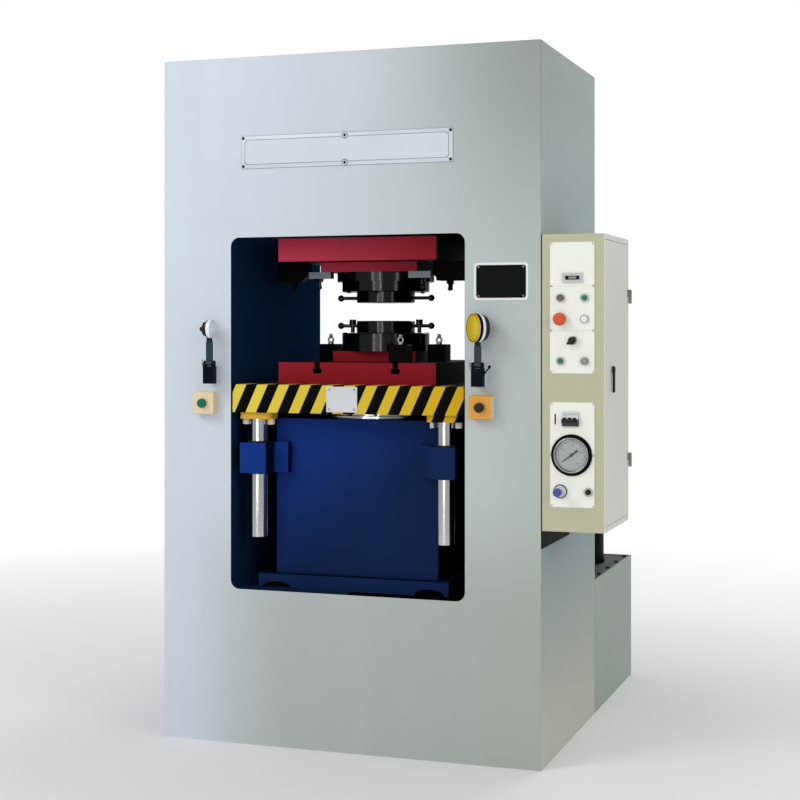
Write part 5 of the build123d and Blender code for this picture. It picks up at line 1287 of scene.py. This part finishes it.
@dataclass
class WorkLamp(Fittings):
    """The lens, rim, screws and knob of one work lamp."""

    side: str
    radius: float = 0.030
    half_length: float = 0.012
    facing_turn: float = 0.0
    lens_finish: str = "white_lens"
    knob: bool = False
    drum: float = 0.014
    lens_depth: float = 0.006
    screw_side: float = 0.019
    screw_z: float = 1.275

    def __post_init__(self) -> None:
        """Reads the head's middle from its solid."""
        _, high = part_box(f"{self.side}_lamp_head")
        arm_low, arm_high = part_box(f"{self.side}_lamp_arm")
        self.pivot = ((arm_low.x + arm_high.x) / 2, (arm_low.y + arm_high.y) / 2, high.z - self.radius)

    def on_head(self, piece: Piece, finish: str) -> None:
        """Turns a piece as the lamp looks and puts it on the head."""
        self.put(piece.turn(self.facing_turn, Way.Z, self.pivot), finish, f"{self.side}_lamp_head_body")

    def build(self) -> None:
        """Builds the lamp's parts on its head and its arm."""
        x, y, z = self.pivot
        drum = Piece.disc(f"{self.side}_lens", (x + self.half_length - self.drum / 2 + 0.001, y, z), Way.X,
                          self.radius + 0.0010, self.drum, 64)
        drum.inset(RIGHT, 0.0026, -0.0012)
        drum.inset(lambda c, n: n.x > 0.9 and c.x < x + self.half_length, self.radius * 0.25, self.lens_depth * 0.4)
        drum.inset(lambda c, n: n.x > 0.9 and (c - Vector((c.x, y, z))).length < 0.001,
                   self.radius * 0.25, self.lens_depth * 0.25)
        self.on_head(drum.bevel(0.0008), self.lens_finish)
        self.back()
        self.pivot_screw()

    def back(self) -> None:
        """Builds the head's domed back, with its knob or with its painted highlight band and bezel."""
        x, y, z = self.pivot
        dome = Piece.disc(f"{self.side}_lamp_back", (x - self.half_length - 0.003, y, z), Way.X,
                          self.radius - 0.006, 0.006, 48)
        dome.inset(LEFT, self.radius * 0.25, 0.003)
        dome.inset(lambda c, n: n.x < -0.9 and c.x < x - self.half_length - 0.007, self.radius * 0.2, 0.0015)
        self.on_head(dome.bevel(0.0010), "black_plastic")
        if self.knob:
            knob = Piece.disc(f"{self.side}_lamp_knob", (x - self.half_length - 0.014, y, z), Way.X, 0.0075, 0.014, 24)
            self.on_head(knob.inset(LEFT, 0.003, 0.002).bevel(0.0015), "black_plastic")
            return
        collar = Piece.disc(f"{self.side}_lamp_collar", (x + self.half_length - 0.008, y, z), Way.X,
                            self.radius + 0.0012, 0.008, 64)
        self.on_head(collar.bevel(0.0004, 1), "matt_black")
        # Painted highlight: a white band that glows faintly, standing for the crescent of light on the lamp's back.
        band = Piece.disc(f"{self.side}_lamp_band", (x - 0.001, y, z), Way.X, self.radius + 0.0008, 0.009, 64)
        self.on_head(band.bevel(0.0004, 1), "white_lens")
        bezel = Piece.hoop(f"{self.side}_lamp_rim", (x + self.half_length - 0.003, y, z), Way.X,
                           self.radius - 0.0022, 0.0034)
        self.on_head(bezel, "matt_black")

    def pivot_screw(self) -> None:
        """Builds the wing screw on the arm's pivot, at the base's left side."""
        x, y, z = self.pivot[0] - self.screw_side, self.pivot[1], self.screw_z
        screw = Piece.disc(f"{self.side}_pivot_screw", (x - 0.004, y, z), Way.X, 0.0065, 0.008, 24)
        screw.inset(LEFT, 0.002, 0.0015).bevel(0.001)
        wing = Piece.block(f"{self.side}_wing", (x - 0.009, y - 0.0015, z - 0.014),
                           (x - 0.005, y + 0.0015, z + 0.014))
        wing.bevel(0.001)
        self.put(screw.unite([wing]), "bezel_metal")


@dataclass
class DieHolders(Fittings):
    """The screws, studs and nuts on the die holders and their clamps."""

    lower_face: float = 1.376
    upper_face: float = 1.519
    circle: float = 0.132
    lower_circle: float = 0.1445
    count: int = 6
    start: float = 30.0
    gland_circle: float = 0.251
    gland_count: int = 16
    stud_inset: Pair = (0.038, 0.017)

    def ring_spots(self, z: float, radius: float, count: int, start: float) -> list[Triple]:
        """Returns points on a circle about the press axis."""
        turns = [math.radians(start + 360 * k / count) for k in range(count)]
        return [(radius * math.cos(t), radius * math.sin(t), z) for t in turns]

    def screws(self) -> None:
        """Builds the cap screws in both holders' faces."""
        lower = self.ring_spots(self.lower_face, self.lower_circle, self.count, self.start)
        self.put(socket_screws("lower_holder_screws", lower, 1, 0.0062, 0.0015), "black_steel", "table")
        upper = self.ring_spots(self.upper_face, self.circle, self.count, self.start)
        self.put(socket_screws("upper_holder_screws", upper, -1, 0.0075, 0.004), "black_steel")

    def strap_studs(self) -> None:
        """Builds the studs that hang from the strap clamps, with their nuts and ball ends."""
        low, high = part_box("strap_clamps")
        x, y = high.x - self.stud_inset[0], low.y + self.stud_inset[1]
        spots = [(sx * x, sy * abs(y), low.z) for sx in (-1, 1) for sy in (-1, 1)]
        nut = hex_bolts("strap_nuts", spots, -1, 0.012, 0.009)
        stud = Piece.disc("strap_stud", (spots[0][0], spots[0][1], low.z - 0.014), Way.Z, 0.0055, 0.028, 24)
        stud.inset(DOWN, 0.001, 0.001)
        end = Piece.ball("stud_end", (spots[0][0], spots[0][1], low.z - 0.030), 0.0075)
        end.resize(lambda c, n: n.z < -0.6, (0.9, 0.9, 1.0), spots[0])
        stud.unite([end]).repeat(spots)
        self.put(nut.unite([stud]), "black_steel")

    def gland_screws(self) -> None:
        """Builds the screws round the gland ring."""
        _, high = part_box("gland_ring")
        spots = self.ring_spots(high.z - 0.0002, self.gland_circle, self.gland_count, 180 / self.gland_count)
        self.put(socket_screws("gland_screws", spots, 1, 0.0055, 0.0055), "bolt_steel")

    def build(self) -> None:
        """Builds all of the holders' small parts."""
        self.screws()
        self.strap_studs()
        self.gland_screws()


@dataclass
class GuideTrim(Fittings):
    """The wiper rings of the guides and the caps on the rod flanges' bolts."""

    x: float = 0.330
    y: float = 0.351
    block_top: float = 1.009
    block_low: float = 0.907
    rod: float = 0.0291
    cap_z: float = 1.0785
    wire: float = 0.0040
    flatness: float = 0.55

    def wipers(self) -> None:
        """Builds a rubber wiper at each end of each guide block."""
        first = (-self.x, -self.y, self.block_top + 0.0022)
        ring = Piece.hoop("guide_wipers", first, Way.Z, self.rod + 0.0044, self.wire)
        ring.resize(lambda c, n: True, (1.0, 1.0, self.flatness), first)
        spots = [(sx * self.x, sy * self.y, z) for z in (first[2], self.block_low - 0.0022)
                 for sx in (-1, 1) for sy in (-1, 1)]
        ring.repeat(spots)
        self.put(ring, "rubber_black")

    def caps(self) -> None:
        """Builds two pale caps and a yellow one over bolt heads of the front flanges."""
        for name, x, finish in (("cap_left_outer", -0.375, "flange_white"), ("cap_left_inner", -0.285, "box_orange"),
                                ("cap_right_outer", 0.375, "flange_white")):
            cap = Piece.disc(name, (x, -self.y, self.cap_z), Way.Z, 0.0128, 0.0190, 6)
            self.put(cap.inset(DOWN, 0.002, 0.001).bevel(0.0015), finish, "table")

    def build(self) -> None:
        """Builds the wipers and the caps."""
        self.wipers()
        self.caps()


@dataclass
class PowerPack(Fittings):
    """The bolts, plugs and sight glass of the oil tank, its cover and the pump motor."""

    cover: float = 0.474
    tank_x: float = 0.636
    tank_y: Pair = (0.424, 1.078)
    motor: Pair = (0.466, 0.900)
    motor_circle: float = 0.114
    motor_flange: float = 0.014
    terminal_z: float = 0.774
    level: Triple = (-0.35, 1.100, 0.30)
    valve: Triple = (0.100, 0.720, 0.690)
    manifold_top: float = 0.659

    def cover_bolts(self) -> None:
        """Builds the row of bolts along the cover's edge."""
        (y0, y1), x = self.tank_y, self.tank_x
        across = [-x + 2 * x * k / 7 for k in range(8)]
        along = [y0 + (y1 - y0) * k / 4 for k in range(1, 4)]
        spots = [(u, v, self.cover) for v in (y0, y1) for u in across]
        spots += [(u, v, self.cover) for u in (-x, x) for v in along]
        self.put(hex_bolts("cover_bolts", spots, 1, 0.008, 0.006), "cover_grey")

    def motor_bolts(self) -> None:
        """Builds the bolts of the motor's flange."""
        x, y = self.motor
        turns = [math.radians(45 + 90 * k) for k in range(4)]
        low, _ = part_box("motor_body")
        spots = [(x + self.motor_circle * math.cos(t), y + self.motor_circle * math.sin(t), low.z + self.motor_flange)
                 for t in turns]
        self.put(hex_bolts("motor_bolts", spots, 1, 0.009, 0.007), "bolt_steel")

    def terminal_lid(self) -> None:
        """Builds the terminal box's lid and its cable gland."""
        low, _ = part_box("motor_body")
        x, y, z = low.x, self.motor[1], self.terminal_z
        lid = Piece.block("terminal_lid", (x - 0.006, y - 0.047, z - 0.057), (x, y + 0.047, z + 0.057))
        self.put(lid.inset(LEFT, 0.008, 0.002).bevel(0.0015), "black_paint")
        gland = Piece.disc("cable_gland", (x + 0.028, y, z - 0.063), Way.Z, 0.013, 0.018, 6)
        self.put(gland.inset(DOWN, 0.004, 0.004).bevel(0.001), "black_plastic")

    def sight_glass(self) -> None:
        """Builds the oil level glass on the tank's rear wall."""
        x, y, z = self.level
        frame_plate = Piece.block("level_frame", (x - 0.019, y - 0.0005, z - 0.085), (x + 0.019, y + 0.010, z + 0.085))
        self.put(frame_plate.inset(BACK, 0.008, -0.006).bevel(0.0015), "black_plastic")
        glass = Piece.block("level_glass", (x - 0.010, y + 0.003, z - 0.073), (x + 0.010, y + 0.0075, z + 0.073))
        self.put(glass.inset(BACK, 0.002, 0.0008).bevel(0.0008), "oil_lens")

    def valve_parts(self) -> None:
        """Builds the valve's end caps, its plugs and the manifold's screws."""
        low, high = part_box("valve_manifold")
        x, y, z = self.valve
        for name, end, sign in (("solenoid_front", low.y, -1), ("solenoid_rear", high.y, 1)):
            cap = Piece.disc(name, (x, end + sign * 0.004, z), Way.Y, 0.012, 0.010, 24)
            self.put(cap.inset(facing((0, sign, 0)), 0.003, 0.003).bevel(0.001), "black_plastic")
            plug = Piece.block(name + "_plug", (x - 0.014, end - sign * 0.036 - 0.014, z + 0.020),
                               (x + 0.014, end - sign * 0.036 + 0.014, z + 0.048))
            self.put(plug.inset(UP, 0.004, 0.003).bevel(0.002), "black_plastic")
        spots = [(x + u, y + v, self.manifold_top) for u in (-0.048, 0.048) for v in (-0.063, 0.063)]
        self.put(socket_screws("manifold_screws", spots, 1, 0.006, 0.006), "bolt_steel")

    def filler_grip(self) -> None:
        """Builds the ribs and the strainer flange of the filler cap."""
        low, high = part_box("filler_breather")
        x, y = (low.x + high.x) / 2, (low.y + high.y) / 2
        rib = Piece.block("filler_ribs", (x + 0.0400, y - 0.0025, high.z - 0.044),
                          (x + 0.0445, y + 0.0025, high.z - 0.010))
        self.put(rib.bevel(0.001).around(20, (x, y, 0.0)), "black_plastic")
        flange = Piece.disc("filler_flange", (x, y, self.cover + 0.003), Way.Z, 0.041, 0.006, 48)
        self.put(flange.inset(UP, 0.004, 0.001).bevel(0.0008), "plate_zinc")

    def build(self) -> None:
        """Builds all of the power pack's small parts."""
        self.cover_bolts()
        self.motor_bolts()
        self.terminal_lid()
        self.sight_glass()
        self.valve_parts()
        self.filler_grip()


@dataclass
class CabinetInside(Fittings):
    """The switchgear on the mounting plate, and the door's seal."""

    back: float = 0.678
    y_range: Pair = (-0.350, -0.070)
    rails: tuple[float, ...] = (1.52, 1.30, 1.06)
    ducts: tuple[float, ...] = (1.41, 1.18, 0.95)
    rail_depth: float = 0.0075
    seal_y: Pair = (-0.388, -0.034)
    seal_z: Pair = (0.782, 1.660)
    door_face: float = 0.8595
    contactor_pitch: float = 0.055
    breaker_pitch: float = 0.018
    terminal_pitch: float = 0.0062
    terminals_wired: int = 40
    slot_pitch: float = 0.0125

    def rail(self, z: float, index: int) -> None:
        """Builds one hat rail across the plate.

        Args:
            z: The height of the rail.
            index: The rail's number.
        """
        (y0, y1), x = self.y_range, self.back
        rail = Piece.block(f"rail_{index}", (x, y0, z - 0.0175), (x + self.rail_depth, y1, z + 0.0175))
        self.put(rail.inset(RIGHT, 0.005, -0.004).bevel(0.0006, 1), "plate_zinc")

    def contactor(self, z: float) -> None:
        """Builds a row of contactors with raised middles.

        Args:
            z: The height of the rail.
        """
        x, y = self.back + self.rail_depth, self.y_range[0] + 0.03
        unit = Piece.block("contactors", (x, y - 0.0225, z - 0.040), (x + 0.060, y + 0.0225, z + 0.040))
        unit.inset(RIGHT, 0.010, 0.018)
        unit.inset(lambda c, n: n.x > 0.9 and c.x > x + 0.07, 0.005, -0.002)
        self.put(unit.bevel(0.0015).row(3, self.contactor_pitch), "case_cream")

    def breakers(self, z: float) -> None:
        """Builds a row of narrow circuit breakers with dark levers.

        Args:
            z: The height of the rail.
        """
        x, y = self.back + self.rail_depth, self.y_range[0] + 0.012
        body = Piece.block("circuit_breakers", (x, y - 0.0085, z - 0.043), (x + 0.044, y + 0.0085, z + 0.043))
        self.put(body.inset(RIGHT, 0.0025, 0.012).bevel(0.001).row(8, self.breaker_pitch), "case_cream")
        lever = Piece.block("breaker_levers", (x + 0.054, y - 0.004, z - 0.004), (x + 0.064, y + 0.004, z + 0.010))
        lever.resize(lambda c, n: n.x > 0.9, (1.0, 0.8, 0.6), (x + 0.064, y, z + 0.003))
        self.put(lever.bevel(0.0008).row(8, self.breaker_pitch), "ink_black")

    def terminals(self, z: float) -> None:
        """Builds the strip of terminals, and wires that run down to the duct.

        Args:
            z: The height of the rail.
        """
        x, y = self.back + self.rail_depth, self.y_range[0] + 0.006
        block = Piece.block("terminals", (x, y, z - 0.022), (x + 0.036, y + 0.005, z + 0.022))
        block.inset(RIGHT, 0.0012, -0.003).bevel(0.0005, 1).row(self.terminals_wired + 1, self.terminal_pitch)
        self.put(block, "duct_grey")
        for finish, first in (("copper_wire", 0), ("blue_wire", 1), ("rubber_black", 2)):
            wires = []
            for k in range(first, self.terminals_wired, 3):
                at = y + 0.0025 + self.terminal_pitch * k
                wires.append(Piece.pipe(f"wire_{k}", [(x + 0.028, at, z - 0.020), (x + 0.040, at, z - 0.036),
                                                      (x + 0.036, at + 0.002, z - 0.058)], 0.0011))
            self.put(wires[0].unite(wires[1:]), finish)

    def duct(self, z: float, index: int) -> None:
        """Builds one slotted wiring duct with its lid.

        Args:
            z: The height of the duct.
            index: The duct's number.
        """
        (y0, y1), x = self.y_range, self.back
        duct = Piece.block(f"duct_{index}", (x, y0, z - 0.020), (x + 0.046, y1, z + 0.020))
        self.put(duct.inset(RIGHT, 0.001, 0.002).bevel(0.0008, 1), "duct_grey")
        slot = Piece.block(f"duct_slots_{index}", (x + 0.008, y0 + 0.006, z - 0.0205),
                           (x + 0.044, y0 + 0.010, z + 0.0205))
        self.put(slot.bevel(0.0003, 1).row(21, self.slot_pitch), "ink_black")

    def seal(self) -> None:
        """Builds the rubber seal inside the door."""
        (y0, y1), (z0, z1), inner = self.seal_y, self.seal_z, self.door_face
        seal = Piece.block("door_seal", (inner - 0.006, y0, z0), (inner, y1, z1))
        seal.cut_away(RIGHT).pick(LEFT)
        bpy.ops.mesh.inset(thickness=0.010, depth=0)
        bpy.ops.mesh.delete(type="FACE")
        deselect()
        self.put(seal.modify("SOLIDIFY", thickness=0.0015), "rubber_black", "cabinet_door_body")

    def build(self) -> None:
        """Builds the whole inside."""
        for index, z in enumerate(self.rails):
            self.rail(z, index)
        self.breakers(self.rails[0])
        self.contactor(self.rails[1])
        self.terminals(self.rails[2])
        for index, z in enumerate(self.ducts):
            self.duct(z, index)
        self.seal()


@dataclass
class Stage:
    """The floor, the soft lights, the world and the camera."""

    floor_half: float = 30.0
    fade: Pair = (1.2, 5.0)
    eye: Triple = (1.8654, -5.2723, 1.3842)
    yaw: float = 18.976
    lens: float = 71.6
    shift: float = -0.0868
    sky: float = 0.5
    seen_gain: float = 0.5
    glossy_gain: float = -0.22

    def floor(self) -> None:
        """Lays a pale floor that keeps the press's shadow and fades to white far away."""
        deselect()
        bpy.ops.mesh.primitive_plane_add(size=2 * self.floor_half, location=(0, 0, 0))
        ground = bpy.context.object
        ground.name = "floor"
        bpy.ops.object.transform_apply(scale=True)
        material, nodes, body = shader("floor_pale")
        nodes.feed(body, {"Base Color": (0.86, 0.86, 0.87, 1.0), "Roughness": 0.9, "Specular IOR Level": 0.1})
        x, y, _ = nodes.place()
        reach = nodes.math("SQRT", nodes.math("ADD", nodes.math("MULTIPLY", x, x), nodes.math("MULTIPLY", y, y)))
        fade = nodes.ramp(reach, *self.fade, "LINEAR")
        seen = nodes.add("ShaderNodeLightPath").outputs["Is Camera Ray"]
        white = nodes.add("ShaderNodeEmission", {"Color": (1.0, 1.0, 1.0, 1.0)})
        inputs = {0: nodes.math("MULTIPLY", fade, seen), 1: body.outputs[0], 2: white.outputs[0]}
        blend = nodes.add("ShaderNodeMixShader", inputs)
        nodes.feed(nodes.tree.nodes["Material Output"], {"Surface": blend.outputs[0]})
        ground.data.materials.append(material)

    def world(self) -> None:
        """Sets a soft even sky that is white where the camera sees it and dim in reflections."""
        world = bpy.data.worlds.new("studio")
        bpy.context.scene.world = world
        world.use_nodes = True
        nodes = Nodes(world.node_tree)
        seen = nodes.add("ShaderNodeLightPath").outputs
        clear = nodes.math("MAXIMUM", seen["Is Camera Ray"], seen["Is Transmission Ray"])
        glossy = nodes.math("MULTIPLY", seen["Is Glossy Ray"], self.glossy_gain)
        gain = nodes.math("ADD", nodes.math("MULTIPLY", clear, self.seen_gain), glossy)
        strength = nodes.math("ADD", self.sky, gain)
        nodes.feed(world.node_tree.nodes["Background"], {"Color": (1.0, 1.0, 1.0, 1.0), "Strength": strength})

    def lamp(self, name: str, spot: Triple, aim: Triple, width: float, height: float, power: float) -> None:
        """Hangs one soft light that looks at a point.

        Args:
            name: The light's name.
            spot: Where it hangs.
            aim: The point that it looks at.
            width: Its width.
            height: Its height.
            power: Its power in watts.
        """
        deselect()
        bpy.ops.object.light_add(type="AREA", location=spot)
        light = bpy.context.object
        light.name = name
        light.data.shape = "RECTANGLE"
        light.data.size = width
        light.data.size_y = height
        light.data.energy = power
        light.rotation_euler = (Vector(aim) - Vector(spot)).to_track_quat("-Z", "Y").to_euler()

    def camera(self) -> None:
        """Sets a level camera where the frame's edges in the photo put it."""
        deselect()
        bpy.ops.object.camera_add(location=self.eye, rotation=(math.pi / 2, 0, math.radians(self.yaw)))
        camera = bpy.context.object
        camera.data.lens = self.lens
        camera.data.sensor_width = 36.0
        camera.data.shift_y = self.shift
        camera.data.clip_end = 200.0
        bpy.context.scene.camera = camera

    def build(self) -> None:
        """Builds the whole stage."""
        self.floor()
        self.world()
        for row in (("key_light", (-2.8, -4.0, 4.2), (-0.1, 0.0, 1.3), 2.4, 2.4, 96.0),
                    ("fill_light", (4.4, -3.0, 2.6), (0.4, 0.0, 1.1), 2.6, 2.6, 40.0),
                    ("rear_light", (1.5, 4.6, 3.6), (0.0, 0.6, 0.8), 3.0, 3.0, 90.0),
                    ("front_panel", (-0.24, -5.0, 1.5), (-0.24, 0.0, 1.5), 1.4, 2.4, 11.0),
                    ("left_strip", (-1.04, -5.0, 1.5), (-1.04, 0.0, 1.5), 0.18, 2.4, 11.0),
                    ("right_strip", (0.56, -5.0, 1.5), (0.56, 0.0, 1.5), 0.18, 2.4, 11.0)):
            self.lamp(*row)
        self.camera()
        bpy.context.scene.view_settings.view_transform = "Standard"


def main() -> None:
    """Builds the press's looks in order."""
    logging.basicConfig(level=logging.INFO, format="%(message)s")
    palette = Palette()
    palette.dress_nodes({"cabinet_door": "cabinet_side", "stroke_counter": "dial_grey", "breaker_body": "breaker_grey",
                         "lamp_bases": "base_black", "clamp_blocks": "matt_black", "stop_brackets": "matt_black"})
    FramePlates(palette).build()
    TableNotice(palette).build()
    Gauge(palette).build()
    PanelUnits(palette).build()
    WorkLamp(palette, "left", facing_turn=0.0, knob=True).build()
    WorkLamp(palette, "right", radius=0.045, half_length=0.017, facing_turn=-135.0, drum=0.004,
             lens_finish="yellow_lens").build()
    DieHolders(palette).build()
    GuideTrim(palette).build()
    PowerPack(palette).build()
    CabinetInside(palette).build()
    Stage().build()
    bpy.context.view_layer.update()


if __name__ == "__main__":
    main()
